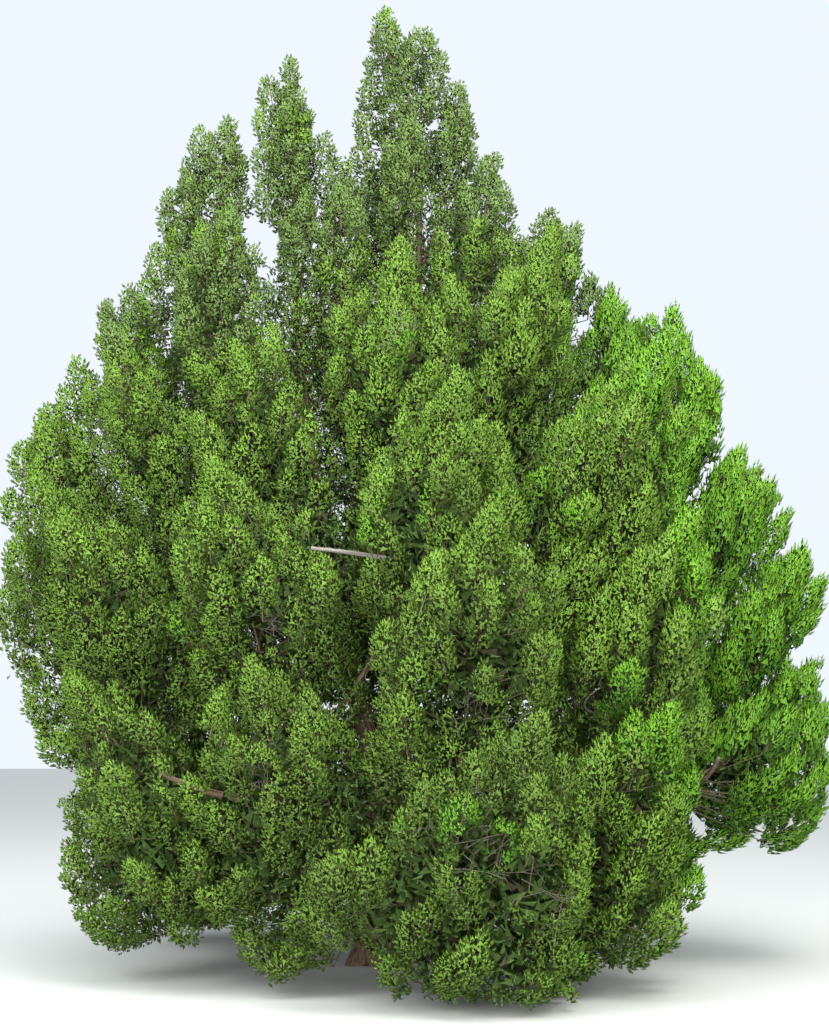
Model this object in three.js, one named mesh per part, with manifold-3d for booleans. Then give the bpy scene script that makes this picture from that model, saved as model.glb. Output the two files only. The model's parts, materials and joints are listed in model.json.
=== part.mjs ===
// A dense cypress about seven metres tall, rooted in the ground.
// One short trunk forks near the ground into three leaders, each with a spire of its own. Boughs leave
// the trunk and the leaders all round, and carry a crown of pointed plumes that reaches the ground.
// Millimetres. +Z is up, -Y is the front and +X the right, as the front view shows them. The origin is
// the middle of the flat cut under the trunk, at ground level.
import * as THREE from "three";
import { mergeVertices } from "three/addons/utils/BufferGeometryUtils.js";
import Module from "manifold-3d";

const wasm = await Module();
wasm.setup();

// The trunk, up to its fork.
const TRUNK = { height: 760, footRadius: 165, forkRadius: 145, sides: 14, steps: 5 };
const ROOT_FLARE = { reach: 110, height: 170, buttresses: 5 };

// The three leaders, by the top of each spire. leaves is the height where a leader leaves its parent, plume
// gives the length and girth of the plume on top, and lean is how far that one leans to the right.
const LEADERS = {
  main: {
    tip: [15, 100, 6985],
    parent: "trunk",
    leaves: 760,
    radius: 128,
    plume: [1500, 420],
    lean: -0.17,
  },
  left: {
    tip: [-1125, 0, 6130],
    parent: "trunk",
    leaves: 470,
    radius: 98,
    plume: [1350, 310],
    lean: 0.09,
  },
  middle: {
    tip: [-670, -60, 6570],
    parent: "main",
    leaves: 1150,
    radius: 82,
    plume: [1400, 260],
    lean: -0.03,
  },
};
// Rings of plumes round each leader below its top, from the highest down. Each plume stands at its bearing
// (0 is the front, 90 the right) and its heart is this far from the leader, at this height.
const RINGS = {
  main: [
    { height: 5600, out: 480, bearings: [92], length: 1350, girth: 400 },
    { height: 5300, out: 270, bearings: [35, 170], length: 1250, girth: 300 },
    { height: 4820, out: 740, bearings: [70, 130], length: 1400, girth: 480 },
    { height: 4600, out: 430, bearings: [325], length: 1500, girth: 420 },
  ],
  left: [
    { height: 4980, out: 210, bearings: [280], length: 1300, girth: 400 },
    { height: 4380, out: 430, bearings: [8, 200], length: 1500, girth: 480 },
  ],
  middle: [
    { height: 5030, out: 350, bearings: [95], length: 1250, girth: 310 },
    { height: 4600, out: 190, bearings: [30], length: 1400, girth: 340 },
  ],
};

// Ridges of plumes from the leaders down to the ground: the hearts of the plumes lie along each curve.
// size gives the plumes' length at the top and at the foot, girth their width beside it, lift the pitch of
// their tips in degrees.
const RIDGES = {
  right: {
    line: [[1120, 250, 4520], [2740, 300, 3440], [2660, 0, 1440]],
    plumes: 6, size: [1480, 1400], girth: 0.43, lift: [76, 56],
  },
  front_right: {
    line: [[850, -500, 3850], [2100, -1150, 2800], [1350, -1450, 860]],
    plumes: 4, size: [1950, 1800], girth: 0.34, lift: [74, 56],
  },
  front: {
    line: [[120, -750, 3600], [560, -1900, 2500], [680, -2020, 720]],
    plumes: 4, size: [1950, 1800], girth: 0.34, lift: [76, 58],
  },
  front_left: {
    line: [[-760, -600, 3200], [-860, -1650, 2050], [-520, -1400, 1060]],
    plumes: 3, size: [2050, 1850], girth: 0.35, lift: [74, 58],
  },
  left_front: {
    line: [[-1500, -450, 3300], [-2150, -950, 2250], [-1420, -850, 1020]],
    plumes: 3, size: [2050, 1750], girth: 0.35, lift: [72, 54],
  },
  left: {
    line: [[-1680, 200, 3900], [-2830, 100, 3020], [-1650, 150, 1220]],
    plumes: 4, size: [1550, 1500], girth: 0.41, lift: [80, 54],
  },
  back_left: {
    line: [[-1150, 600, 3600], [-2150, 1500, 2400], [-1350, 1350, 900]],
    plumes: 3, size: [2050, 1900], girth: 0.4, lift: [74, 56],
  },
  back: {
    line: [[-150, 750, 4000], [-50, 2300, 2600], [0, 1850, 880]],
    plumes: 3, size: [2150, 1950], girth: 0.4, lift: [74, 56],
  },
  back_right: {
    line: [[850, 900, 3800], [2150, 1850, 2600], [1450, 1350, 900]],
    plumes: 3, size: [2050, 1900], girth: 0.4, lift: [74, 56],
  },
};
const RIDGE_PLUME_WIDTH = 1.45; // a plume on a ridge is this much wider across the crown than it is deep

// The main boughs: one up to each ridge, from its parent at the height where it leaves, to the plume that
// it carries on its end.
const BOUGHS = {
  right: { parent: "main", leaves: 1050, carries: 4, radius: 66 },
  front_right: { parent: "trunk", leaves: 620, carries: 3, radius: 62 },
  front: { parent: "trunk", leaves: 500, carries: 3, radius: 58 },
  front_left: { parent: "left", leaves: 900, carries: 2, radius: 52 },
  left_front: { parent: "left", leaves: 1200, carries: 2, radius: 46 },
  left: { parent: "left", leaves: 1500, carries: 2, radius: 50 },
  back_left: { parent: "left", leaves: 700, carries: 2, radius: 54 },
  back: { parent: "main", leaves: 900, carries: 2, radius: 60 },
  back_right: { parent: "main", leaves: 1300, carries: 2, radius: 56 },
};
const LEADER_TOP_RADIUS = 22;
const BOUGH_END_RADIUS = 20;
const STEM_RADIUS = 17;
const STUB = 60; // how far a limb's end stays short of its plume's foot

// A stem would rather leave its limb below its plume, by this share of its run, at this weight.
const STEM_RISE = 0.5;
const RISE_WEIGHT = 0.4;

const SEED = 7;
const CLEAR = 0.3; // between solids that rest on each other
const SPACE_MARGIN = 8; // from a plume to the edge of its own space
const SMOOTHING = 6; // the slivers that joining leaves are smoothed away up to this size
const GROUND_GAP = 12; // under the lowest foliage
const UP = new THREE.Vector3(0, 0, 1);
const OUT_OF_SPIRE = new THREE.Vector3(0.31, 0.95, 0.05); // the side that the plume on top of a spire faces

// A repeatable run of numbers from 0 to 1.
function randomRun(seed) {
  let state = seed >>> 0;
  return () => {
    state = (state + 0x6d2b79f5) >>> 0;
    let t = state;
    t = Math.imul(t ^ (t >>> 15), t | 1);
    t ^= t + Math.imul(t ^ (t >>> 7), t | 61);
    return ((t ^ (t >>> 14)) >>> 0) / 4294967296;
  };
}

const mix = THREE.MathUtils.lerp;
const vector = ([x, y, z]) => new THREE.Vector3(x, y, z);
const radians = THREE.MathUtils.degToRad;

// The level direction at a bearing: 0 is the front, 90 the right.
function levelDirection(bearing) {
  return new THREE.Vector3(Math.sin(radians(bearing)), -Math.cos(radians(bearing)), 0);
}

// A closed geometry as a solid, with its seams merged and its collapsed faces dropped.
function solidOf(geometry) {
  const bare = geometry.clone();
  bare.deleteAttribute("normal");
  bare.deleteAttribute("uv");
  const merged = mergeVertices(bare, 1e-3);
  const corners = [];
  for (let i = 0; i < merged.index.count; i += 3) {
    const [a, b, c] = [0, 1, 2].map((k) => merged.index.getX(i + k));
    if (a !== b && b !== c && c !== a) corners.push(a, b, c);
  }
  return new wasm.Manifold(
    new wasm.Mesh({
      numProp: 3,
      vertProperties: merged.attributes.position.array,
      triVerts: new Uint32Array(corners),
    }),
  );
}

// A solid as a geometry with flat faces.
function geometryOf(solid) {
  const mesh = solid.getMesh();
  const geometry = new THREE.BufferGeometry();
  geometry.setAttribute("position", new THREE.BufferAttribute(mesh.vertProperties.slice(), 3));
  geometry.setIndex(new THREE.BufferAttribute(mesh.triVerts.slice(), 1));
  return geometry;
}

// Moves each vertex of a geometry by a rule that takes and changes one point.
function reshape(geometry, rule) {
  const position = geometry.attributes.position;
  const point = new THREE.Vector3();
  for (let i = 0; i < position.count; i++) {
    rule(point.fromBufferAttribute(position, i));
    position.setXYZ(i, point.x, point.y, point.z);
  }
  return geometry;
}

// A round limb along a curve, open to a rule for its radius along the way: a cylinder whose rings are
// carried along the curve. grow makes it thicker and longer all round, for cutting room for it.
function limbSolid(limb, grow = 0) {
  const { curve, radiusAt, sides, steps } = limb;
  const start = curve.getPoint(0);
  const end = curve.getPoint(1);
  const middle = curve.getPoint(0.5);
  const side = new THREE.Vector3().crossVectors(middle.clone().sub(start), end.clone().sub(start));
  if (side.length() < 1) side.crossVectors(end.clone().sub(start), new THREE.Vector3(0.3, 1, 0.1));
  side.normalize();
  const thicker = grow / Math.cos(Math.PI / sides);
  return solidOf(
    reshape(new THREE.CylinderGeometry(1, 1, 1, sides, steps), (p) => {
      const t = p.y + 0.5;
      const along = curve.getTangent(t);
      const other = new THREE.Vector3().crossVectors(side, along).normalize();
      const radius = radiusAt(t) + thicker;
      const x = p.x * radius;
      const z = p.z * radius;
      const centre = curve.getPoint(t).addScaledVector(along, t < 1e-6 ? -grow : t > 1 - 1e-6 ? grow : 0);
      p.copy(centre).addScaledVector(side, x).addScaledVector(other, z);
    }),
  );
}

// The trunk with its root flare: buttresses that fade with height.
function trunkSolid(grow = 0) {
  const { height, footRadius, forkRadius, sides, steps } = TRUNK;
  return solidOf(
    reshape(new THREE.CylinderGeometry(1, 1, 1, sides, steps), (p) => {
      const share = p.y + 0.5;
      const z = height * share * share; // rings stand closer near the foot, where the flare is
      const angle = Math.atan2(p.x, p.z);
      const ring = Math.hypot(p.x, p.z);
      const fade = Math.exp(-z / ROOT_FLARE.height);
      const buttress = 0.62 + 0.38 * Math.cos(ROOT_FLARE.buttresses * angle);
      const radius = mix(footRadius, forkRadius, share) + ROOT_FLARE.reach * fade * buttress + grow;
      p.set(Math.cos(angle) * ring * radius, Math.sin(angle) * ring * radius, z + (share > 0.999 ? grow : 0));
    }),
  );
}

// Plumes

// The outline of a plume, as shares of its girth at shares of its length, drawn to a point: full on the
// spires, and more of a cone on the ridges.
const FULL_FLAME = [[0, 0], [0.06, 0.76], [0.3, 1], [0.58, 0.88], [0.83, 0.5], [1, 0]];
const SLIM_FLAME = [[0, 0], [0.07, 0.75], [0.24, 1], [0.54, 0.78], [0.82, 0.38], [1, 0]];
const PLUME_SIDES = 8;

function flameRadius(flame, share) {
  const k = flame.findIndex(([at], i) => i > 0 && share <= at);
  if (k < 0) return 0;
  const [[t0, r0], [t1, r1]] = [flame[k - 1], flame[k]];
  return mix(r0, r1, (share - t0) / (t1 - t0));
}

function makePlume(name, heart, direction, length, girth, width = 1, flame = FULL_FLAME) {
  const foot = heart.clone().addScaledVector(direction, -0.42 * length);
  const tip = heart.clone().addScaledVector(direction, 0.58 * length);
  return { name, foot, tip, direction, length, girth, width, flame };
}

// The plumes on top of the leaders, those in rings round them, and those along the ridges.
function layOutPlumes() {
  const plumes = [];
  for (const [leader, l] of Object.entries(LEADERS)) {
    const direction = new THREE.Vector3(l.lean, 0, 1).normalize();
    const [length, girth] = l.plume;
    const heart = vector(l.tip).addScaledVector(direction, -0.62 * length);
    plumes.push(makePlume(leader + "_spire_top", heart, direction, length, girth));
  }
  for (const [leader, rings] of Object.entries(RINGS)) {
    rings.forEach((ring, level) =>
      ring.bearings.forEach((bearing, k) => {
        const out = levelDirection(bearing);
        const axis = vector(LEADERS[leader].tip).setZ(ring.height);
        const direction = UP.clone().addScaledVector(out, 0.12).normalize();
        const heart = axis.addScaledVector(out, ring.out);
        const name = leader + "_spire_" + (level + 1) + "abc"[k];
        plumes.push({ ...makePlume(name, heart, direction, ring.length, ring.girth), out });
      }),
    );
  }
  for (const [ridge, r] of Object.entries(RIDGES)) {
    const random = randomRun(SEED * 101 + ridge.length * 17 + ridge.charCodeAt(0));
    const curve = new THREE.QuadraticBezierCurve3(...r.line.map(vector));
    for (let k = 0; k < r.plumes; k++) {
      const t = k / (r.plumes - 1);
      const length = mix(r.size[0], r.size[1], t) * (0.92 + 0.16 * random());
      const heart = curve.getPointAt(t);
      const out = new THREE.Vector3(heart.x, heart.y, 0).normalize();
      const facing = out.clone();
      out.applyAxisAngle(UP, radians(24) * (random() - 0.5));
      const lift = radians(mix(r.lift[0], r.lift[1], t) + 10 * (random() - 0.5));
      const direction = out.multiplyScalar(Math.cos(lift)).addScaledVector(UP, Math.sin(lift));
      const girth = r.girth * mix(1, 1.12, t) * length;
      const name = ridge + "_" + (k + 1);
      const plume = makePlume(name, heart, direction, length, girth, RIDGE_PLUME_WIDTH, SLIM_FLAME);
      plumes.push({ ...plume, out: facing });
    }
  }
  return plumes;
}

// The nearest points of two plumes' axes, as shares of their lengths.
function nearestOnAxes(a, b) {
  const u = a.tip.clone().sub(a.foot);
  const v = b.tip.clone().sub(b.foot);
  const w = a.foot.clone().sub(b.foot);
  const [uu, uv, vv, uw, vw] = [u.dot(u), u.dot(v), v.dot(v), u.dot(w), v.dot(w)];
  const clamp = (x) => THREE.MathUtils.clamp(x, 0, 1);
  let s = clamp((uv * vw - vv * uw) / Math.max(uu * vv - uv * uv, 1e-6 * uu * vv));
  const t = clamp((uv * s + vw) / vv);
  s = clamp((uv * t - uw) / uu);
  return [s, t];
}

// A plume's own space: the flat walls between it and its neighbours, and the ground.
function wallsRound(plume, plumes) {
  const walls = [{ point: new THREE.Vector3(0, 0, GROUND_GAP), normal: new THREE.Vector3(0, 0, -1) }];
  for (const other of plumes) {
    if (other === plume) continue;
    const [s, t] = nearestOnAxes(plume, other);
    const here = plume.foot.clone().lerp(plume.tip, s);
    const there = other.foot.clone().lerp(other.tip, t);
    const gap = here.distanceTo(there);
    if (gap > 2.2 * (plume.girth + other.girth)) continue;
    const mine = plume.girth * (0.3 + 0.7 * flameRadius(plume.flame, s));
    const theirs = other.girth * (0.3 + 0.7 * flameRadius(other.flame, t));
    const normal = there.sub(here).normalize();
    walls.push({ point: here.addScaledVector(normal, (gap * mine) / (mine + theirs)), normal });
  }
  return walls;
}

const inside = (walls, p) => walls.every((w) => p.dot(w.normal) - w.point.dot(w.normal) < -SPACE_MARGIN);

// How far a ray from a point goes, up to reach, before it meets a wall of the space.
function roomAlong(walls, from, ray, reach) {
  let room = reach;
  for (const w of walls) {
    const towards = w.normal.dot(ray);
    if (towards <= 1e-6) continue;
    const left = w.normal.dot(w.point) - w.normal.dot(from) - SPACE_MARGIN;
    room = Math.min(room, Math.max(left / towards, 1));
  }
  return room;
}

// The way out from a plume's axis at an angle, as long as the plume is wide there: 1 in its depth, and its
// width across the crown.
function spoke(plume, angle) {
  const side = new THREE.Vector3().crossVectors(plume.direction, plume.out ?? OUT_OF_SPIRE).normalize();
  const other = new THREE.Vector3().crossVectors(side, plume.direction);
  return side.multiplyScalar(plume.width * Math.sin(angle)).addScaledVector(other, Math.cos(angle));
}

// The dense heart of a plume: a lathe of its outline drawn into upward folds, lumpy by the seeded rule, and
// held inside its space. Every other spoke stands out and reaches further up.
const FOLD_OUT = { reach: 1.06, rise: 0.07 };
const FOLD_IN = { reach: 0.8, rise: -0.03 };

function coreSolid(plume, random) {
  const profile = plume.flame.map(([t, r]) => new THREE.Vector2(r, t));
  const lumps = plume.flame.map(() => Array.from({ length: PLUME_SIDES }, () => 0.84 + 0.26 * random()));
  return solidOf(
    reshape(new THREE.LatheGeometry(profile, PLUME_SIDES), (p) => {
      const ring = Math.hypot(p.x, p.z);
      const angle = Math.atan2(p.x, p.z);
      const step = Math.round((angle / (2 * Math.PI)) * PLUME_SIDES + PLUME_SIDES) % PLUME_SIDES;
      const level = plume.flame.findIndex(([t]) => Math.abs(t - p.y) < 1e-3);
      const fold = step % 2 ? FOLD_IN : FOLD_OUT;
      const rise = ring > 1e-6 ? fold.rise : 0;
      const from = plume.foot.clone().lerp(plume.tip, 0.03 + 0.9 * p.y + rise * p.y);
      const ray = spoke(plume, angle);
      const reach = ring * plume.girth * lumps[level][step] * fold.reach * ray.length();
      ray.normalize();
      p.copy(from);
      if (ring > 1e-6) p.addScaledVector(ray, roomAlong(plume.walls, from, ray, reach));
    }),
  );
}

// A flat spray of foliage: a thin lens whose rim is drawn out into teeth. Its root is sunk in the core.
const SPRAY_RIM = [[1, 0], [0.52, 0.12], [0.66, 0.34], [-0.45, 0], [0.66, -0.34], [0.52, -0.12]];
const SPRAY_THICKNESS = 0.11;

function sprayPoints(root, along, across, length) {
  const face = new THREE.Vector3().crossVectors(along, across).normalize();
  const place = (x, y, z) =>
    root
      .clone()
      .addScaledVector(along, x * length)
      .addScaledVector(across, y * length)
      .addScaledVector(face, z * length);
  return {
    rim: SPRAY_RIM.map(([x, y]) => place(x, y, 0)),
    low: place(0.34, 0, -SPRAY_THICKNESS),
    high: place(0.34, 0, SPRAY_THICKNESS),
  };
}

function spraySolid({ rim, low, high }) {
  const geometry = new THREE.LatheGeometry(
    [new THREE.Vector2(0, -1), new THREE.Vector2(1, 0), new THREE.Vector2(0, 1)],
    SPRAY_RIM.length,
  );
  return solidOf(
    reshape(geometry, (p) => {
      const angle = Math.atan2(p.x, p.z);
      const k = Math.round((angle / (2 * Math.PI)) * SPRAY_RIM.length + SPRAY_RIM.length) % SPRAY_RIM.length;
      p.copy(p.y > 0.5 ? high : p.y < -0.5 ? low : rim[k]);
    }),
  );
}

// A three-sided twig between two points, thinner at its end.
function twigSolid(from, to, radius) {
  const curve = new THREE.LineCurve3(from, to);
  return limbSolid({ curve, radiusAt: (t) => radius * (1 - 0.6 * t), sides: 3, steps: 1 });
}

const GOLDEN_ANGLE = Math.PI * (3 - Math.sqrt(5));
const SPRAYS = 5; // on each plume, besides the one at its tip
const SPRAY_TRIES = 120;
const SPRAY_SIZE = 0.27; // of the plume's length, where the plume is thickest
const SHORTER = [1, 0.8, 0.62]; // a spray that doesn't fit is tried again this much shorter

// Twigs that leave the plume's stem by the golden angle, each with a toothed spray at its end. Those that
// would come out against a neighbour, or touch a limb, aren't grown.
function foliageOf(plume, random, limbs) {
  const side = spoke(plume, Math.PI / 2).normalize();
  const grown = [];
  const add = (start, root, along, across, length) => {
    const points = sprayPoints(root, along, across, length);
    const all = [...points.rim, points.low, points.high];
    if (!all.every((p) => inside(plume.walls, p))) return false;
    if (all.some((p) => limbs.some((l) => nearLimb(l, p, 20)))) return false;
    grown.push(spraySolid(points));
    const back = root.clone().addScaledVector(along, -0.2 * length);
    if (start) grown.push(twigSolid(start, back, 0.04 * length));
    return true;
  };
  const tipLength = 0.22 * plume.length;
  const tipRoot = plume.tip.clone().addScaledVector(plume.direction, -tipLength * 0.6);
  add(null, tipRoot, plume.direction, side, tipLength);
  let made = 0;
  for (let k = 0; k < SPRAY_TRIES && made < SPRAYS; k++) {
    const share = 0.12 + 0.76 * random();
    const angle = k * GOLDEN_ANGLE + random();
    const ray = spoke(plume, angle);
    const start = plume.foot.clone().lerp(plume.tip, 0.02 + 0.84 * share);
    const full = flameRadius(plume.flame, share) * plume.girth * ray.length();
    ray.normalize();
    if (plume.out && ray.dot(plume.out) < -0.1) continue;
    if (roomAlong(plume.walls, start, ray, 1.15 * full) < 1.05 * full) continue;
    const root = start.clone().addScaledVector(ray, 0.86 * full);
    const along = ray.clone().multiplyScalar(0.35 + 0.3 * random()).addScaledVector(plume.direction, 0.8);
    along.addScaledVector(UP, 0.5).normalize();
    const across = new THREE.Vector3().crossVectors(along, ray).normalize();
    across.applyAxisAngle(along, 0.8 * (random() - 0.5));
    const length = plume.length * SPRAY_SIZE * mix(1, 0.72, share) * (0.85 + 0.3 * random());
    if (SHORTER.some((shorter) => add(start, root, along, across, shorter * length))) made++;
  }
  return grown;
}

// Limbs

// A limb from its parent to a point, rising out and then up, with its taper.
function makeLimb(name, start, end, rise, radius, endRadius, sides, steps) {
  const bend = start.clone().lerp(end, 0.55);
  bend.z += rise;
  const curve = new THREE.QuadraticBezierCurve3(start, bend, end);
  const radiusAt = (t) => mix(radius, endRadius, Math.pow(t, 0.85));
  return { name, curve, radiusAt, sides, steps };
}

// Whether a point is within a margin of a limb.
function nearLimb(limb, p, margin) {
  limb.samples ??= Array.from({ length: 25 }, (_, i) => i / 24).map((t) => ({
    at: limb.curve.getPoint(t),
    r: limb.radiusAt(t),
  }));
  return limb.samples.some((s) => s.at.distanceTo(p) < s.r + margin);
}

// Where a limb leaves its parent: the point of the parent's axis at a height. The trunk's axis is upright.
function leavePoint(limbs, parent, height) {
  if (parent === "trunk") return new THREE.Vector3(0, 0, height);
  const limb = limbs[parent];
  let t = 0;
  while (t < 1 && limb.curve.getPoint(t).z < height) t += 0.01;
  return limb.curve.getPoint(Math.min(t, 1));
}

function growLimbs(plumes) {
  const limbs = {};
  for (const [name, l] of Object.entries(LEADERS)) {
    const plume = plumes.find((p) => p.name === name + "_spire_top");
    const start = leavePoint(limbs, l.parent, l.leaves);
    if (l.leaves === TRUNK.height) start.z += CLEAR;
    const end = plume.foot.clone().addScaledVector(plume.direction, -STUB);
    const limb = makeLimb(name + "_leader", start, end, 0, l.radius, LEADER_TOP_RADIUS, 8, 7);
    const reachOut = Math.hypot(end.x - start.x, end.y - start.y);
    const bend = start.clone().lerp(end, 0.85).setZ(mix(start.z, end.z, 0.42));
    if (reachOut > 300) limb.curve = new THREE.QuadraticBezierCurve3(start, bend, end);
    limb.carries = plume;
    limbs[name] = limb;
  }
  return limbs;
}

function growBoughs(limbs, plumes) {
  for (const [ridge, b] of Object.entries(BOUGHS)) {
    const plume = plumes.find((p) => p.name === ridge + "_" + b.carries);
    const start = leavePoint(limbs, b.parent, b.leaves);
    const end = plume.foot.clone().addScaledVector(plume.direction, -STUB);
    const rise = -0.1 * start.distanceTo(end);
    const bough = makeLimb(ridge + "_bough", start, end, rise, b.radius, BOUGH_END_RADIUS, 8, 6);
    bough.carries = plume;
    limbs[bough.name] = bough;
  }
}

// A plume's stem: on from the limb that ends in it, or from the best place on any limb.
function growStem(plume, limbs) {
  const carrier = limbs.find((l) => l.carries === plume);
  let from = carrier && carrier.curve.getPoint(1);
  if (!carrier) {
    let best = Infinity;
    for (const limb of limbs)
      for (let t = 0.08; t <= 0.97; t += 0.01) {
        const p = limb.curve.getPoint(t);
        const run = p.distanceTo(plume.foot);
        const steep = (plume.foot.z - p.z) / Math.max(run, 1);
        const cost = run * (1 + RISE_WEIGHT * Math.pow(steep - STEM_RISE, 2));
        if (cost < best) [best, from] = [cost, p];
      }
  }
  const heart = plume.foot.clone().lerp(plume.tip, 0.5);
  const back = carrier ? from.clone().addScaledVector(plume.direction, -20) : from;
  const curve = new THREE.QuadraticBezierCurve3(back, plume.foot.clone().lerp(back, 0.25), heart);
  const run = back.distanceTo(plume.foot);
  const root = STEM_RADIUS + 0.012 * run;
  return { curve, radiusAt: (t) => mix(root, 0.55 * STEM_RADIUS, t), sides: 4, steps: carrier ? 1 : 3 };
}

// Putting the tree together

const BARK = new THREE.MeshStandardMaterial({ color: 0x6b5a4c, roughness: 0.95, metalness: 0 });
const FOLIAGE = new THREE.MeshStandardMaterial({ color: 0x4f7d2b, roughness: 0.75, metalness: 0 });

const touches = (a, b) => {
  const [p, q] = [a.boundingBox(), b.boundingBox()];
  return [0, 1, 2].every((k) => p.min[k] <= q.max[k] && q.min[k] <= p.max[k]);
};

// A solid less every cutter that comes near it.
const lessAll = (solid, cutters) =>
  cutters.reduce((left, c) => (touches(left, c) ? left.subtract(c) : left), solid);

// The largest single body of a solid: loose scraps are dropped.
function largestBody(solid) {
  const bodies = solid.decompose();
  return bodies.reduce((best, b) => (b.volume() > best.volume() ? b : best), bodies[0]);
}

const tree = new THREE.Group();
function addNode(name, solid, material) {
  const mesh = new THREE.Mesh(geometryOf(solid), material);
  mesh.name = name;
  tree.add(mesh);
}

const plumes = layOutPlumes();
for (const plume of plumes) plume.walls = wallsRound(plume, plumes);
const limbs = growLimbs(plumes);
growBoughs(limbs, plumes);
const limbList = Object.values(limbs);

addNode("trunk", trunkSolid(), BARK);
const limbRoom = [trunkSolid(CLEAR)];
for (const limb of limbList) {
  addNode(limb.name, largestBody(lessAll(limbSolid(limb), limbRoom)), BARK);
  limbRoom.push(limbSolid(limb, CLEAR));
}

const stems = plumes.map((plume) => growStem(plume, limbList));
const stemSolids = stems.map((stem) => limbSolid(stem));
const stemRoom = stems.map((stem) => limbSolid(stem, 3));
plumes.forEach((plume, i) => {
  const random = randomRun(SEED + 31 * i);
  const parts = [coreSolid(plume, random), ...foliageOf(plume, random, limbList)];
  const otherStems = stemRoom.filter((_, k) => k !== i);
  const body = lessAll(wasm.Manifold.union(parts).simplify(SMOOTHING), [...limbRoom, ...otherStems]);
  const stem = lessAll(stemSolids[i], [...limbRoom, ...stemRoom.slice(0, i)]);
  addNode("foliage_" + plume.name, largestBody(body.add(stem)), FOLIAGE);
});

export default tree;
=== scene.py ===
"""Looks of a dense cypress about seven metres tall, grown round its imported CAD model.

The limbs and masses of foliage are laid out again by the source's rule, from the same named sizes. Each mass
is carried on to finer growth inside the reach of its solid: boughlets, twigs, tufts and scaly shoots.
Metres. +Z is up, -Y is the front and +X the right. The origin is the middle of the flat cut at the ground.
"""

import json
import math

import bpy
import numpy as np
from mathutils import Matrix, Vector
from mathutils.bvhtree import BVHTree

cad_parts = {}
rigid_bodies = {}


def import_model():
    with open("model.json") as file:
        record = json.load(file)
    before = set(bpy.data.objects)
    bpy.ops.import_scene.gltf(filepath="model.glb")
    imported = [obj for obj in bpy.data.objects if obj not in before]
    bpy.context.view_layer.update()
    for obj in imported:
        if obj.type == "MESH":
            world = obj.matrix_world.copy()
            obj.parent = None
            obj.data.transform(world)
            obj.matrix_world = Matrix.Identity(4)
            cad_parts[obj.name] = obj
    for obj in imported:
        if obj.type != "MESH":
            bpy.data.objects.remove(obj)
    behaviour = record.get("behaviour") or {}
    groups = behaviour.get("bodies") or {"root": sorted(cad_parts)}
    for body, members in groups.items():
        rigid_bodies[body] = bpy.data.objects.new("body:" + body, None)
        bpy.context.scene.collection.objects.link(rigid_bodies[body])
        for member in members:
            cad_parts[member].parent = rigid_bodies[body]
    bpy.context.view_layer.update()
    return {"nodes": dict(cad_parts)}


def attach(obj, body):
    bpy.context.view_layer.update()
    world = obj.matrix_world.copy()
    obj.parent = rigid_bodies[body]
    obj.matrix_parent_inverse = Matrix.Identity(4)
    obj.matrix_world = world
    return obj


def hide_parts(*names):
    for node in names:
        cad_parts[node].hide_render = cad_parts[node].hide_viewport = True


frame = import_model()

bl_info = {
    "name": "Garden cypress",
    "version": (1, 0, 0),
    "blender": (4, 5, 0),
    "location": "View3D > Sidebar > Cypress",
    "description": "Grows the bark, twigs and foliage of a dense cypress round its CAD model",
    "category": "Add Mesh",
}

# The trunk and its root flare, as in the source.
TRUNK = {"height": 0.76, "foot_radius": 0.165, "fork_radius": 0.145}
ROOT_FLARE = {"reach": 0.11, "height": 0.17, "buttresses": 5}

# The leaders, by the top of each spire: the tip, the limb it leaves and how high, its radius there, and
# the length, girth and lean of the plume on top.
LEADERS = {
    "main": {"tip": (0.015, 0.1, 6.985), "parent": "trunk", "leaves": 0.76, "radius": 0.128,
             "plume": (1.5, 0.42), "lean": -0.17},
    "left": {"tip": (-1.125, 0, 6.13), "parent": "trunk", "leaves": 0.47, "radius": 0.098,
             "plume": (1.35, 0.31), "lean": 0.09},
    "middle": {"tip": (-0.67, -0.06, 6.57), "parent": "main", "leaves": 1.15, "radius": 0.082,
               "plume": (1.4, 0.26), "lean": -0.03},
}
LEADER_TOP_RADIUS = 0.022

# Rings of plumes round each leader, from the highest down: height, how far out, bearings, length and
# girth.
RINGS = {
    "main": [(5.6, 0.48, (92,), 1.35, 0.4), (5.3, 0.27, (35, 170), 1.25, 0.3),
             (4.82, 0.74, (70, 130), 1.4, 0.48), (4.6, 0.43, (325,), 1.5, 0.42)],
    "left": [(4.98, 0.21, (280,), 1.3, 0.4), (4.38, 0.43, (8, 200), 1.5, 0.48)],
    "middle": [(5.03, 0.35, (95,), 1.25, 0.31), (4.6, 0.19, (30,), 1.4, 0.34)],
}

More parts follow.
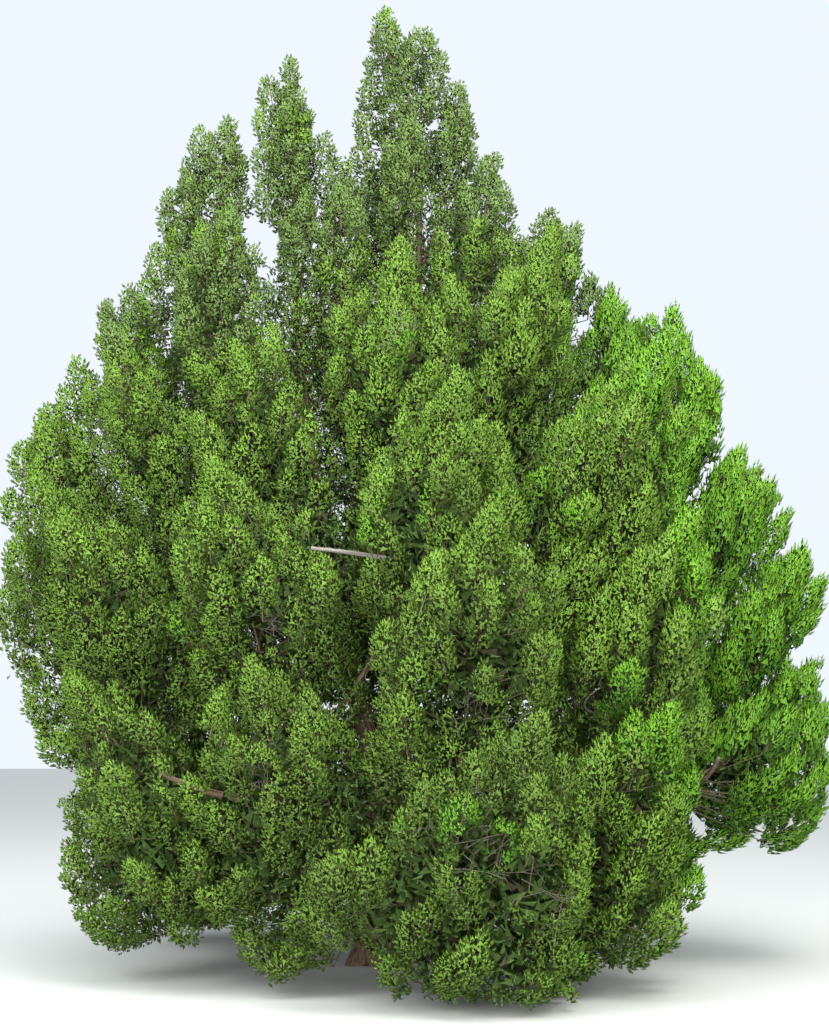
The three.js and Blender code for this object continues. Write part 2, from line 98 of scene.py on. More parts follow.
# Ridges of plumes down the crown: the curve of their hearts, how many, their length at the top and at the
# foot, their girth beside it, and the pitch of their tips in degrees.
RIDGES = {
    "right": {"line": ((1.12, 0.25, 4.52), (2.74, 0.3, 3.44), (2.66, 0, 1.44)),
              "plumes": 6, "size": (1.48, 1.4), "girth": 0.43, "lift": (76, 56)},
    "front_right": {"line": ((0.85, -0.5, 3.85), (2.1, -1.15, 2.8), (1.35, -1.45, 0.86)),
                    "plumes": 4, "size": (1.95, 1.8), "girth": 0.34, "lift": (74, 56)},
    "front": {"line": ((0.12, -0.75, 3.6), (0.56, -1.9, 2.5), (0.68, -2.02, 0.72)),
              "plumes": 4, "size": (1.95, 1.8), "girth": 0.34, "lift": (76, 58)},
    "front_left": {"line": ((-0.76, -0.6, 3.2), (-0.86, -1.65, 2.05), (-0.52, -1.4, 1.06)),
                   "plumes": 3, "size": (2.05, 1.85), "girth": 0.35, "lift": (74, 58)},
    "left_front": {"line": ((-1.5, -0.45, 3.3), (-2.15, -0.95, 2.25), (-1.42, -0.85, 1.02)),
                   "plumes": 3, "size": (2.05, 1.75), "girth": 0.35, "lift": (72, 54)},
    "left": {"line": ((-1.68, 0.2, 3.9), (-2.83, 0.1, 3.02), (-1.65, 0.15, 1.22)),
             "plumes": 4, "size": (1.55, 1.5), "girth": 0.41, "lift": (80, 54)},
    "back_left": {"line": ((-1.15, 0.6, 3.6), (-2.15, 1.5, 2.4), (-1.35, 1.35, 0.9)),
                  "plumes": 3, "size": (2.05, 1.9), "girth": 0.4, "lift": (74, 56)},
    "back": {"line": ((-0.15, 0.75, 4), (-0.05, 2.3, 2.6), (0, 1.85, 0.88)),
             "plumes": 3, "size": (2.15, 1.95), "girth": 0.4, "lift": (74, 56)},
    "back_right": {"line": ((0.85, 0.9, 3.8), (2.15, 1.85, 2.6), (1.45, 1.35, 0.9)),
                   "plumes": 3, "size": (2.05, 1.9), "girth": 0.4, "lift": (74, 56)},
}
RIDGE_PLUME_WIDTH = 1.45

# The boughs: the limb each leaves and how high, the plume of its ridge that it runs into, and its radius.
BOUGHS = {
    "right": ("main", 1.05, 4, 0.066), "front_right": ("trunk", 0.62, 3, 0.062),
    "front": ("trunk", 0.5, 3, 0.058), "front_left": ("left", 0.9, 2, 0.052),
    "left_front": ("left", 1.2, 2, 0.046), "left": ("left", 1.5, 2, 0.05),
    "back_left": ("left", 0.7, 2, 0.054), "back": ("main", 0.9, 2, 0.06),
    "back_right": ("main", 1.3, 2, 0.056),
}

# Bare wood that shows in gaps of the foliage: a place that it passes, its end, its radii there and
# whether it is dead and grey. Each grows from the nearest limb or stem. Foliage keeps this far from the
# stretch between the two places, on a live branch only from this share of it.
BARE_BRANCHES = [
    {"passes": (0.07, -1.42, 2.69), "end": (-0.4, -1.5, 2.735), "radii": (0.017, 0.012), "dead": True},
    {"passes": (-0.86, -1.3, 1.14), "end": (-1.34, -1.4, 1.34), "radii": (0.03, 0.014), "dead": False},
    {"passes": (1.24, -1.42, 1.73), "end": (1.39, -1.6, 1.86), "radii": (0.008, 0.004), "dead": True},
    {"passes": (2.24, -0.42, 1.27), "end": (2.29, -0.6, 1.42), "radii": (0.018, 0.012), "dead": False},
]
BARE_CLEARANCE = 0.065
LIVE_SHARE_BARE = 0.75

# Hollows in the foliage, with dead twigs in them: their middle and radius.
HOLLOWS = [
    ((-0.31, -0.95, 2.58), 0.17), ((-0.65, -1.6, 2.25), 0.11), ((0.61, -2.14, 1.68), 0.12),
    ((0.59, -2.55, 0.96), 0.16), ((0.94, -2.5, 0.77), 0.19), ((-0.66, -1.9, 1.33), 0.12),
]
TWIGS_IN_HOLLOW = 16

# Notches in the crown's outline, where no foliage grows: their middle and radius.
NOTCHES = [
    ((2.84, 0.18, 3.54), 0.25), ((2.53, 0.2, 4.27), 0.13), ((2.49, 0.22, 3.78), 0.11),
    ((1.97, 0.28, 4.73), 0.17), ((3.24, -0.05, 1.93), 0.2), ((3.26, -0.2, 1.5), 0.19),
    ((3.22, -0.25, 1.12), 0.22), ((3.06, -0.2, 0.8), 0.18), ((1.42, 0.15, 4.93), 0.11),
    ((-2.05, -0.88, 1.4), 0.22), ((-1.98, -1.15, 1.38), 0.16), ((-2.6, -0.27, 2.2), 0.1),
    ((-1.18, -1.01, 0.28), 0.15), ((-0.08, -1.97, 0.22), 0.2), ((0.2, -2.07, 0.05), 0.16),
    ((1.93, -1.33, 0.42), 0.13), ((-1.56, -0.08, 5.61), 0.1), ((-0.52, -0.04, 6.3), 0.1),
]

# Boughlets that stand out of the crown's outline: the tip and the lean to the right, in degrees from
# upright.
SPRIGS = [
    (0.02, 0.08, 7.0, -5), (0.28, 0.07, 6.84, 10), (0.45, 0.07, 6.66, 15), (0.62, 0.09, 6.4, 40),
    (-0.12, 0.14, 6.48, -10), (-0.16, 0.17, 6.26, -15), (-0.17, 0.12, 6.0, -15), (-0.12, 0.12, 5.75, -10),
    (0.86, -0.2, 5.78, 25), (0.8, 0.05, 5.84, 15), (-0.4, 0, 6.0, 10), (-0.33, 0, 5.82, 15),
    (-0.84, -0.06, 6.42, -10), (-0.88, -0.06, 6.2, -10), (-0.88, -0.06, 5.92, -8),
    (-0.86, -0.09, 5.64, -8), (-1.34, -0.08, 6.02, -10), (-1.63, -0.2, 5.1, -12),
    (-1.7, -0.15, 4.87, -15), (-1.63, 0.05, 4.72, -10), (-2.02, 0.1, 4.76, -8), (-2.24, 0.15, 4.34, -10),
    (-2.33, 0.15, 4.14, -12), (-2.12, 0.1, 4.2, -5), (-2.43, 0.1, 3.98, -15), (-2.63, 0.03, 3.68, -15),
    (-2.69, 0.03, 3.34, -20), (-2.36, -0.3, 1.6, -50), (-2.45, -0.3, 1.84, -40), (-2.05, -0.9, 1.16, -45),
    (-1.97, -0.8, 0.6, -35), (-1.9, -0.8, 0.36, -70), (1.28, 0.25, 5.5, 15), (1.48, 0.21, 5.36, 25),
    (1.57, 0.24, 4.98, 5), (1.72, 0.24, 4.9, 10), (2.14, 0, 4.68, 3), (2.24, 0, 4.44, 10),
    (2.32, 0, 4.28, 10), (2.65, 0.2, 3.63, 35), (2.97, 0.17, 3.18, 30), (2.88, 0.15, 3.05, 35),
    (3.2, 0.03, 2.68, 45), (3.16, 0.03, 2.48, 50), (2.58, -0.06, 0.86, 85), (2.32, -0.06, 0.8, 85),
    (2.06, -1.2, 0.74, 35), (-0.86, -1.45, 0.4, -50), (-0.6, -1.5, 0.32, -75), (-0.36, -1.6, 0.3, 60),
]

# Boughlets that bridge the valleys between masses: the first and the last place of a run of them, how far
# they stray from it, and their number.
BRIDGES = [
    ((1.12, -1.25, 3.15), (1.32, -1.68, 1.8), 0.13, 26), ((1.6, -1.15, 3.2), (1.62, -1.5, 2.4), 0.1, 12),
    ((-1.97, -0.25, 3.85), (-1.98, -0.3, 3.0), 0.07, 10), ((1.9, 1.35, 1.5), (1.75, 1.5, 2.3), 0.12, 14),
    ((1.1, 1.7, 1.5), (-1.3, 1.6, 1.55), 0.14, 40), ((-1.35, 1.4, 1.9), (-1.4, 1.25, 2.7), 0.1, 14),
    ((0.75, 1.5, 2.5), (0.8, 1.35, 3.3), 0.1, 10), ((-1.5, -0.75, 0.5), (-1.45, 0.75, 0.6), 0.1, 12),
    ((-1.55, -0.5, 1.05), (-1.6, 0.6, 1.1), 0.1, 8), ((-1.7, 0.7, 1.6), (-1.75, 0.62, 2.4), 0.08, 8),
    ((1.25, 2, 1.3), (-0.2, 2.1, 1.35), 0.1, 16),
]

# Painted light and shade by place: where the foliage is lighter or darker than by rule: the middle, the
# radius and by how much.
PAINTED_LIGHT_AND_SHADE = [
    ((-1.4, -1.8, 1.9), 0.45, 0.5), ((1.55, -1.7, 2.1), 0.45, 0.3), ((1.6, -2, 0.75), 0.5, 0.7),
    ((1.55, -1.8, 2.9), 0.5, 0.35), ((0.1, -1.3, 3.9), 0.4, 0.2), ((-1.1, -0.5, 4.9), 0.5, 0.25),
    ((-0.2, -1.5, 2.1), 0.5, -0.4), ((0.35, -2.1, 2.25), 0.4, -0.5), ((-0.28, -2.1, 0.75), 0.5, -0.7),
    ((0.7, -2.5, 1.45), 0.45, -0.6), ((1, -2.4, 0.15), 0.35, -0.4),
]

# How much of the foliage is of the green hue, by ridge, and on the spires and the other ridges. The green hue
# is painted sunlight, most of it on the sunny ridges.
GREEN_SHARE = {"right": 0.95, "back_right": 0.6, "front_right": 0.3, "front": 0.2, "left": 0.15}
GREEN_ELSEWHERE = 0.05

# Plumes, as in the source: how far below the tip a leader's plume has its heart, in shares of its length,
# how far those in rings lean out, and how those on ridges differ: the least share of their length and
# what chance adds to it, the turn and the lift in degrees that chance gives, and the girth at the ridge's
# foot.
SPIRE_HEART = 0.62
RING_LEAN = 0.12
RIDGE_LEAST_LENGTH = 0.92
RIDGE_LENGTH_CHANCE = 0.16
RIDGE_TURN_CHANCE = 24
RIDGE_LIFT_CHANCE = 10
RIDGE_FOOT_GIRTH = 1.12
SOURCE_SEED = 7

# Limbs, as in the source: the power of their taper, the radius at a bough's end, how far a limb ends
# before its plume's foot, how far the main leader stands clear of the trunk, how much a bough's curve
# hangs for each metre of its run, and from how far out a leader has an elbow, and where, in shares of its
# run.
LIMB_TAPER = 0.85
BOUGH_END_RADIUS = 0.02
STUB = 0.06
LIMB_GAP = 0.0003
BOUGH_HANG = 0.1
ELBOW_FROM = 0.3
ELBOW = (0.85, 0.85, 0.42)

# Stems and twigs leave where the run is shortest, weighted towards this rise for each metre of it. The
# radius of a stem, how much it gains for each metre up to the plume's foot, and its radius at the tip.
BEST_RISE = 0.5
STEM_RADIUS = 0.017
STEM_GAIN = 0.012
STEM_TIP_RADIUS = 0.004

# The outlines of plumes and boughlets: shares of the length, and at each the radius as a share of the
# girth.
FULL_FLAME = ((0, 0.06, 0.3, 0.58, 0.83, 1), (0, 0.76, 1, 0.88, 0.5, 0))
SLIM_FLAME = ((0, 0.07, 0.24, 0.54, 0.82, 1), (0, 0.75, 1, 0.78, 0.38, 0))
HEAD_FLAME = ((0, 0.1, 0.32, 0.55, 0.82, 1), (0, 0.5, 0.92, 1, 0.62, 0))

# The side that plumes on spires face, as in the source. It is askew to every stem.
OUT_OF_SPIRE = (0.31, 0.95, 0.05)

GOLDEN_ANGLE = math.pi * (3 - math.sqrt(5))
UP = np.array([0.0, 0.0, 1.0])

# A flame's surface as a share of that of a cylinder as long and as wide.
FLAME_SURFACE = 0.66

# The girth of a mass with boughlets of the common length, and the power of the girth by which it changes.
COMMON_GIRTH = 0.6
GIRTH_POWER = 0.6

# The boughlet on top of a mass: its length beside a common one, its girth beside its length, and how far
# its tip stands under the surface.
TOP_LENGTH = 1.3
TOP_GIRTH = 0.24
TOP_DEPTH = 0.06

# No foliage stands lower than this, and no tuft where it sees out in a smaller share of directions.
LOWEST_FOLIAGE = 0.06
LEAST_OPEN = 0.17

# The most triangles in a piece.
PIECE_TRIANGLES = 190000


def size_property(name, description, default, least, most, unit="LENGTH"):
    """A size or another number in the panel."""
    return bpy.props.FloatProperty(name=name, description=description, default=default, min=least, max=most,
                                   unit=unit)


def count_property(name, description, default, least, most):
    """A whole number in the panel."""
    return bpy.props.IntProperty(name=name, description=description, default=default, min=least, max=most)


class CypressSizes(bpy.types.PropertyGroup):
    """The sizes of the finer growth."""

    bark_depth: size_property("Bark depth", "How deep the furrows between strips of bark are", 0.006, 0, 0.02)
    boughlets: size_property(
        "Boughlets", "How many boughlets are tried on a square metre of a mass", 13.5, 1, 30, "NONE")
    boughlet_length: size_property("Boughlet length", "A common boughlet, from foot to tip", 0.35, 0.2, 1.2)
    boughlet_girth: size_property(
        "Boughlet girth", "Radius of a boughlet as a share of its length", 0.22, 0.1, 0.6, "NONE")
    tuft_spacing: size_property(
        "Tuft spacing", "Distance between neighbouring tufts on a boughlet", 0.074, 0.05, 0.4)
    shoots_in_tuft: count_property("Shoots in a tuft", "How many scaly shoots stand in each tuft", 8, 3, 40)
    shoot_length: size_property("Shoot length", "Length of a scaly shoot", 0.0355, 0.02, 0.3)
    inner_shoots: count_property(
        "Inner shoots", "How many old shoots are tried between masses, twice as many inside", 23500, 0, 60000)
    inner_length: size_property("Inner shoot length", "Length of an old shoot", 0.085, 0.05, 0.5)
    seed: count_property("Seed", "Another number grows another tree on the same limbs", 11, 0, 100000)


def colour_property(name, description, hex_value):
    """A colour in the panel, given by its sRGB hex value and kept as linear light."""
    return bpy.props.FloatVectorProperty(
        name=name, description=description, subtype="COLOR", size=3, min=0, max=1,
        default=linear_from_hex(hex_value))


def linear_from_hex(hex_value):
    """sRGB hex to linear light: below 0.04045 the value over 12.92, above it ((value + 0.055) / 1.055) to
    the power 2.4."""
    values = [int(hex_value[i:i + 2], 16) / 255 for i in (1, 3, 5)]
    return tuple(v / 12.92 if v <= 0.04045 else ((v + 0.055) / 1.055) ** 2.4 for v in values)


class CypressColours(bpy.types.PropertyGroup):
    """The colours of bark, twigs and foliage."""

    # Each hue's tones run from its old colour to its young one and are dealt out partly by age and partly as
    # painted light and shade, so the old colours also stand for painted shade and the young ones for painted
    # light. The green hue is painted sunlight on the sunny side.
    green_old: colour_property("Green, old", "Oldest leaves on the sunny side", "#3f691c")
    green_young: colour_property("Green, young", "Tips on the sunny side", "#70a22a")
    olive_old: colour_property("Olive, old", "Oldest leaves on the front and the left", "#566d2c")
    olive_young: colour_property("Olive, young", "Tips on the front and the left", "#6f9431")
    sage_old: colour_property("Sage, old", "Oldest leaves on the spires", "#526632")
    sage_young: colour_property("Sage, young", "Tips on the spires", "#6c8744")
    inner_green: colour_property("Inner, green", "Old foliage inside the crown", "#506a30")
    inner_brown: colour_property("Inner, brown", "Dead foliage inside the crown", "#4d4a33")
    bark_ridge: colour_property("Bark, strips", "Weathered strips of bark", "#8a7767")
    bark_furrow: colour_property("Bark, furrows", "Fresh bark between the strips", "#4d3426")
    dead_ridge: colour_property("Dead wood", "Weathered dead wood", "#a9a39c")
    dead_furrow: colour_property("Dead wood, cracks", "Cracks in the dead wood", "#6f675e")
    twig: colour_property("Twigs", "Thin twigs", "#5f5b42")
    floor: colour_property("Floor", "The pale floor", "#c9cac6")


# Growth by the source's rule

def seeded_run(seed):
    """A repeatable run of numbers from 0 to 1: the state steps on by a fixed odd number, and each number
    is the state with its bits mixed by two rounds of shifts and products, modulo 2 to the 32."""
    whole = 0xFFFFFFFF
    odd_step = 0x6D2B79F5
    state = seed & whole

    def following():
        nonlocal state
        state = (state + odd_step) & whole
        mixed = ((state ^ (state >> 15)) * (state | 1)) & whole
        mixed ^= (mixed + (((mixed ^ (mixed >> 7)) * (mixed | 61)) & whole)) & whole
        return ((mixed ^ (mixed >> 14)) & whole) / (whole + 1)

    return following


def unit(v):
    """Vectors along the last axis, each divided by its length."""
    v = np.asarray(v, float)
    return v / np.maximum(np.linalg.norm(v, axis=-1, keepdims=True), 1e-12)


def mix(a, b, share):
    """The value a share of the way from a to b."""
    return a + (b - a) * share


class Curve:
    """A quadratic curve: (1 - t) squared times the first point, plus 2 t (1 - t) times the middle one,
    plus t squared times the last."""

    def __init__(self, first, middle, last):
        self.points = [np.asarray(p, float) for p in (first, middle, last)]

    def at(self, t):
        t = np.asarray(t, float)[..., None]
        first, middle, last = self.points
        return (1 - t) ** 2 * first + 2 * t * (1 - t) * middle + t ** 2 * last

    def heading(self, t):
        t = np.asarray(t, float)[..., None]
        first, middle, last = self.points
        return unit((1 - t) * (middle - first) + t * (last - middle))

    def at_share_of_length(self, share):
        t = np.linspace(0, 1, 201)
        run = np.concatenate([[0], np.cumsum(np.linalg.norm(np.diff(self.at(t), axis=0), axis=1))])
        return self.at(np.interp(share * run[-1], run, t))


def make_plume(name, heart, direction, length, girth, out=OUT_OF_SPIRE, width=1.0, flame=FULL_FLAME):
    """A plume by its heart, which stands at 0.42 of its length from its foot. out is the side it faces,
    and width how much wider it is across the crown than deep."""
    return {"name": name, "foot": heart - 0.42 * length * direction, "direction": direction, "out": out,
            "tip": heart + 0.58 * length * direction, "length": length, "girth": girth, "width": width,
            "flame": flame}


def level_direction(bearing):
    """The level direction at a bearing: (sine, minus cosine, 0)."""
    turn = math.radians(bearing)
    return np.array([math.sin(turn), -math.cos(turn), 0.0])


def lay_out_plumes():
    """The plumes on top of the leaders, those in rings round them, and those along the ridges, as in the
    source."""
    plumes = []
    for leader, l in LEADERS.items():
        direction = unit((l["lean"], 0, 1))
        length, girth = l["plume"]
        heart = np.array(l["tip"]) - SPIRE_HEART * length * direction
        plumes.append(make_plume(leader + "_spire_top", heart, direction, length, girth))
    for leader, rings in RINGS.items():
        for level, (height, out, bearings, length, girth) in enumerate(rings):
            for k, bearing in enumerate(bearings):
                away = level_direction(bearing)
                axis = np.array([LEADERS[leader]["tip"][0], LEADERS[leader]["tip"][1], height])
                name = f"{leader}_spire_{level + 1}{'abc'[k]}"
                plumes.append(make_plume(name, axis + out * away, unit(UP + RING_LEAN * away), length, girth,
                                         away))
    for ridge, r in RIDGES.items():
        random = seeded_run(SOURCE_SEED * 101 + len(ridge) * 17 + ord(ridge[0]))
        curve = Curve(*r["line"])
        for k in range(r["plumes"]):
            t = k / (r["plumes"] - 1)
            length = mix(*r["size"], t) * (RIDGE_LEAST_LENGTH + RIDGE_LENGTH_CHANCE * random())
            heart = curve.at_share_of_length(t)
            facing = unit(heart * (1, 1, 0))
            x, y, _ = facing
            turn = math.radians(RIDGE_TURN_CHANCE) * (random() - 0.5)
            sine, cosine = math.sin(turn), math.cos(turn)
            out = np.array([x * cosine - y * sine, x * sine + y * cosine, 0])
            lift = math.radians(mix(*r["lift"], t) + RIDGE_LIFT_CHANCE * (random() - 0.5))
            direction = out * math.cos(lift) + UP * math.sin(lift)
            girth = r["girth"] * mix(1, RIDGE_FOOT_GIRTH, t) * length
            plumes.append(make_plume(f"{ridge}_{k + 1}", heart, direction, length, girth, facing,
                                     RIDGE_PLUME_WIDTH, SLIM_FLAME))
    return plumes


def make_limb(name, start, end, rise, radius, end_radius):
    """A limb on a curve whose middle point stands at 0.55 of the run, raised by rise."""
    middle = mix(start, end, 0.55) + rise * UP
    return {"name": name, "curve": Curve(start, middle, end), "radius": radius, "end_radius": end_radius}


def axis_at_height(limb, height):
    """The point of a limb's axis at a height, to a hundredth of the curve."""
    t = 0.0
    while t < 1 and limb["curve"].at(t)[2] < height:
        t += 0.01
    return limb["curve"].at(min(t, 1))


def grow_limbs(plumes):
    """The leaders and boughs, as in the source, each from the limb that it leaves into its plume."""
    by_name = {p["name"]: p for p in plumes}
    limbs = {}
    for name, l in LEADERS.items():
        plume = by_name[name + "_spire_top"]
        if l["parent"] == "trunk":
            start = np.array([0, 0, l["leaves"] + (LIMB_GAP if name == "main" else 0)])
        else:
            start = axis_at_height(limbs[l["parent"]], l["leaves"])
        end = plume["foot"] - STUB * plume["direction"]
        limb = make_limb(name + "_leader", start, end, 0, l["radius"], LEADER_TOP_RADIUS)
        if math.hypot(end[0] - start[0], end[1] - start[1]) > ELBOW_FROM:
            limb["curve"] = Curve(start, start + (end - start) * ELBOW, end)
        limb["carries"] = plume["name"]
        limbs[name] = limb
    for ridge, (parent, leaves, carries, radius) in BOUGHS.items():
        plume = by_name[f"{ridge}_{carries}"]
        start = np.array([0, 0, leaves]) if parent == "trunk" else axis_at_height(limbs[parent], leaves)
        end = plume["foot"] - STUB * plume["direction"]
        hang = BOUGH_HANG * np.linalg.norm(end - start)
        limb = make_limb(ridge + "_bough", start, end, -hang, radius, BOUGH_END_RADIUS)
        limb["carries"] = plume["name"]
        limbs[ridge + "_bough"] = limb
    return limbs


def grow_stem(plume, limbs):
    """A plume's stem: on from the limb that ends in it, or else from the best place on any limb, to nine
    tenths of the plume. A place is the better the less run times (1 + 0.4 (rise / run - the best rise)
    squared) is."""
    carrier = [l for l in limbs.values() if l["carries"] == plume["name"]]
    if carrier:
        start = carrier[0]["curve"].at(1.0)
    else:
        t = np.arange(0.08, 0.971, 0.01)
        places = np.concatenate([l["curve"].at(t) for l in limbs.values()])
        run = np.linalg.norm(plume["foot"] - places, axis=1)
        steep = (plume["foot"][2] - places[:, 2]) / np.maximum(run, 0.001)
        start = places[np.argmin(run * (1 + 0.4 * (steep - BEST_RISE) ** 2))]
    end = mix(plume["foot"], plume["tip"], 0.9)
    radius = STEM_RADIUS + STEM_GAIN * np.linalg.norm(start - plume["foot"])
    stem = make_limb("stem", start, end, 0, radius, STEM_TIP_RADIUS)
    stem["curve"] = Curve(start, mix(plume["foot"], start, 0.1), end)
    return stem


def grow_bare_branches(limbs, stems):
    """Each bare branch on its curve, from the nearest place on a limb or stem, by the place it passes, to
    its end."""
    t = np.linspace(0.05, 1, 60)
    places = np.concatenate([l["curve"].at(t) for l in [*limbs.values(), *stems]])
    branches = []
    for bare in BARE_BRANCHES:
        passes, end = np.array(bare["passes"]), np.array(bare["end"])
        start = places[np.argmin(np.linalg.norm(places - passes, axis=1))]
        branch = make_limb("bare", start, end, 0, 1.3 * bare["radii"][0], bare["radii"][1])
        branch["curve"] = Curve(start, passes + 0.3 * (passes - mix(start, end, 0.5)), end)
        branch["dead"] = bare["dead"]
        branches.append(branch)
    return branches


def left_bare(points):
    """Which points foliage keeps clear of: those in a hollow or a notch, and those beside the bare
    stretch of a branch, or up to 0.8 in front of it."""
    bare = np.zeros(len(points), bool)
    for middle, radius in HOLLOWS + NOTCHES:
        bare |= np.linalg.norm(points - middle, axis=1) < radius
    for branch in BARE_BRANCHES:
        passes, end = np.array(branch["passes"]), np.array(branch["end"])
        run = end - passes
        t = np.clip((points - passes) @ run / (run @ run), 0, 1 if branch["dead"] else LIVE_SHARE_BARE)
        away = points - (passes + t[:, None] * run)
        before = (away[:, 1] < 0.04) & (away[:, 1] > -0.8)
        bare |= before & (np.hypot(away[:, 0], away[:, 2]) < BARE_CLEARANCE)
    return bare


# The room that the foliage fills

CELL = 0.05
MARGIN_CELLS = 4
MOST_DEPTH = 10

# The cell columns' lines are set off by so much, so that none meets an edge or a corner of a solid.
OFF_LINE = (0.00137, 0.00071)

# No light passes cells as deep as this.
SHUT_DEPTH = 3


def node_triangles(name):
    """A CAD node's faces as an array of triangles by corners by coordinates."""
    mesh = frame["nodes"][name].data
    places = np.empty(len(mesh.vertices) * 3, np.float32)
    mesh.vertices.foreach_get("co", places)
    corners = np.empty(len(mesh.loops), np.int32)
    mesh.loops.foreach_get("vertex_index", corners)
    return places.reshape(-1, 3)[corners].reshape(-1, 3, 3).astype(float)


class Room:
    """The space inside all masses as a grid of cells. A column of cells is cut where a triangle crosses
    it, and a cell is full where an odd number of cuts lies below it. Depth counts how often the outer
    layer of full cells has to be worn away before a cell goes."""

    def __init__(self, solids):
        corners = np.concatenate([s.reshape(-1, 3) for s in solids])
        self.low = corners.min(0) - MARGIN_CELLS * CELL
        shape = np.ceil((corners.max(0) + MARGIN_CELLS * CELL - self.low) / CELL).astype(int)
        full = np.zeros(shape, bool)
        for triangles in solids:
            first = np.floor((triangles.min((0, 1)) - self.low) / CELL).astype(int)
            last = np.ceil((triangles.max((0, 1)) - self.low) / CELL).astype(int)
            full[first[0]:last[0], first[1]:last[1]] |= self.columns(triangles, first, last, shape[2])
        self.full = full
        self.depth = full.astype(np.int8)
        kept = full
        for _ in range(MOST_DEPTH):
            worn = kept.copy()
            for axis in range(3):
                worn &= np.roll(kept, 1, axis) & np.roll(kept, -1, axis)
            kept = worn
            self.depth += kept

    def columns(self, triangles, first, last, height):
        """Which cells of the columns from first to last are inside one closed solid."""
        wide, deep = last[0] - first[0], last[1] - first[1]
        x = self.low[0] + (first[0] + np.arange(wide) + 0.5) * CELL + OFF_LINE[0]
        y = self.low[1] + (first[1] + np.arange(deep) + 0.5) * CELL + OFF_LINE[1]
        px, py = (g.ravel()[:, None] for g in np.meshgrid(x, y, indexing="ij"))
        (ax, ay, az), (bx, by, bz), (cx, cy, cz) = (triangles[:, k].T for k in range(3))
        area = (bx - ax) * (cy - ay) - (cx - ax) * (by - ay)
        area = np.where(np.abs(area) < 1e-12, 1e-12, area)
        second = ((px - ax) * (cy - ay) - (cx - ax) * (py - ay)) / area
        third = ((bx - ax) * (py - ay) - (px - ax) * (by - ay)) / area
        hit = (second >= 0) & (third >= 0) & (second + third <= 1)
        column, face = np.nonzero(hit)
        z = (az + second * (bz - az) + third * (cz - az))[column, face]
        level = np.clip(np.ceil((z - self.low[2]) / CELL - 0.5).astype(int), 0, height - 1)
        cuts = np.zeros((wide * deep, height), np.int32)
        np.add.at(cuts, (column, level), 1)
        return (np.cumsum(cuts, axis=1) % 2 == 1).reshape(wide, deep, height)

    def cells(self, points):
        """The cell that each point is in, held to the grid."""
        index = np.floor((points - self.low) / CELL).astype(int)
        return tuple(np.clip(index, 0, np.array(self.full.shape) - 1).T)

    def depth_at(self, points):
        return self.depth[self.cells(points)]

    def mark_boughlets(self, b):
        """Notes the cells whose middle is inside a boughlet, and the shut ones that no light passes:
        those, and the deep cells of the masses."""
        self.taken = np.zeros_like(self.full)
        for n in range(len(b["length"])):
            foot, tip = b["foot"][n], b["foot"][n] + b["aim"][n] * b["length"][n]
            first = np.array(self.cells(np.minimum(foot, tip)[None] - b["girth"][n])).ravel()
            last = np.array(self.cells(np.maximum(foot, tip)[None] + b["girth"][n])).ravel() + 1
            index = np.stack(np.meshgrid(*map(np.arange, first, last), indexing="ij"), axis=-1).reshape(-1, 3)
            way = self.low + (index + 0.5) * CELL - foot
            along = way @ b["aim"][n]
            off = np.sqrt(np.maximum((way ** 2).sum(1) - along ** 2, 0))
            inside = off < boughlet_radius(b, np.full(len(along), n), along / b["length"][n])
            self.taken[tuple(index[inside].T)] = True
        self.shut = self.taken | (self.depth >= SHUT_DEPTH)

    def openness(self, points, shut, reach=1.5, step=0.1):
        """The share of 26 directions in which a point sees out: no shut cell stands between a step from
        it and the reach."""
        steps = (-1, 0, 1)
        ways = np.array([(i, j, k) for i in steps for j in steps for k in steps if i or j or k])
        seen = np.zeros(len(points))
        for way in unit(ways):
            hidden = np.zeros(len(points), bool)
            for distance in np.arange(step, reach, step):
                hidden |= shut[self.cells(points + way * distance)]
            seen += ~hidden
        return seen / len(ways)


# Growth carried on to finer twigs

def cross_axes(direction):
    """Two axes square to each direction and to each other."""
    direction = np.atleast_2d(direction)
    side = unit(np.cross(direction, OUT_OF_SPIRE))
    return side, np.cross(side, direction)


def turned(side, other, angle):
    """Ways turned from side towards other by an angle: side times its cosine plus other times its sine."""
    return side * np.cos(angle)[..., None] + other * np.sin(angle)[..., None]


def deal_out(counts):
    """For things in runs of these counts: the number of the run that each is in, and its own number there."""
    owner = np.repeat(np.arange(len(counts)), counts)
    return owner, np.arange(len(owner)) - np.repeat(np.cumsum(counts) - counts, counts)


def flame_radius(flame, share):
    """A flame's radius at a share of its length, straight between its named points."""
    return np.interp(share, *flame)


def spoke(plume, angle):
    """The way out from a plume's axis at an angle, as long as the plume is wide there: its side, times
    the width and the sine, plus its depth times the cosine."""
    side = unit(np.cross(plume["direction"], plume["out"]))
    other = np.cross(side, plume["direction"])
    return side * (plume["width"] * math.sin(angle)) + other * math.cos(angle)


def surface_from_outside(tree, start, way, reach):
    """Where a line that comes in from outside along -way first meets a solid, or None."""
    outside = Vector(start + way * reach)
    place, _, _, _ = tree.ray_cast(outside, Vector(-way), reach)
    return None if place is None else np.array(place)


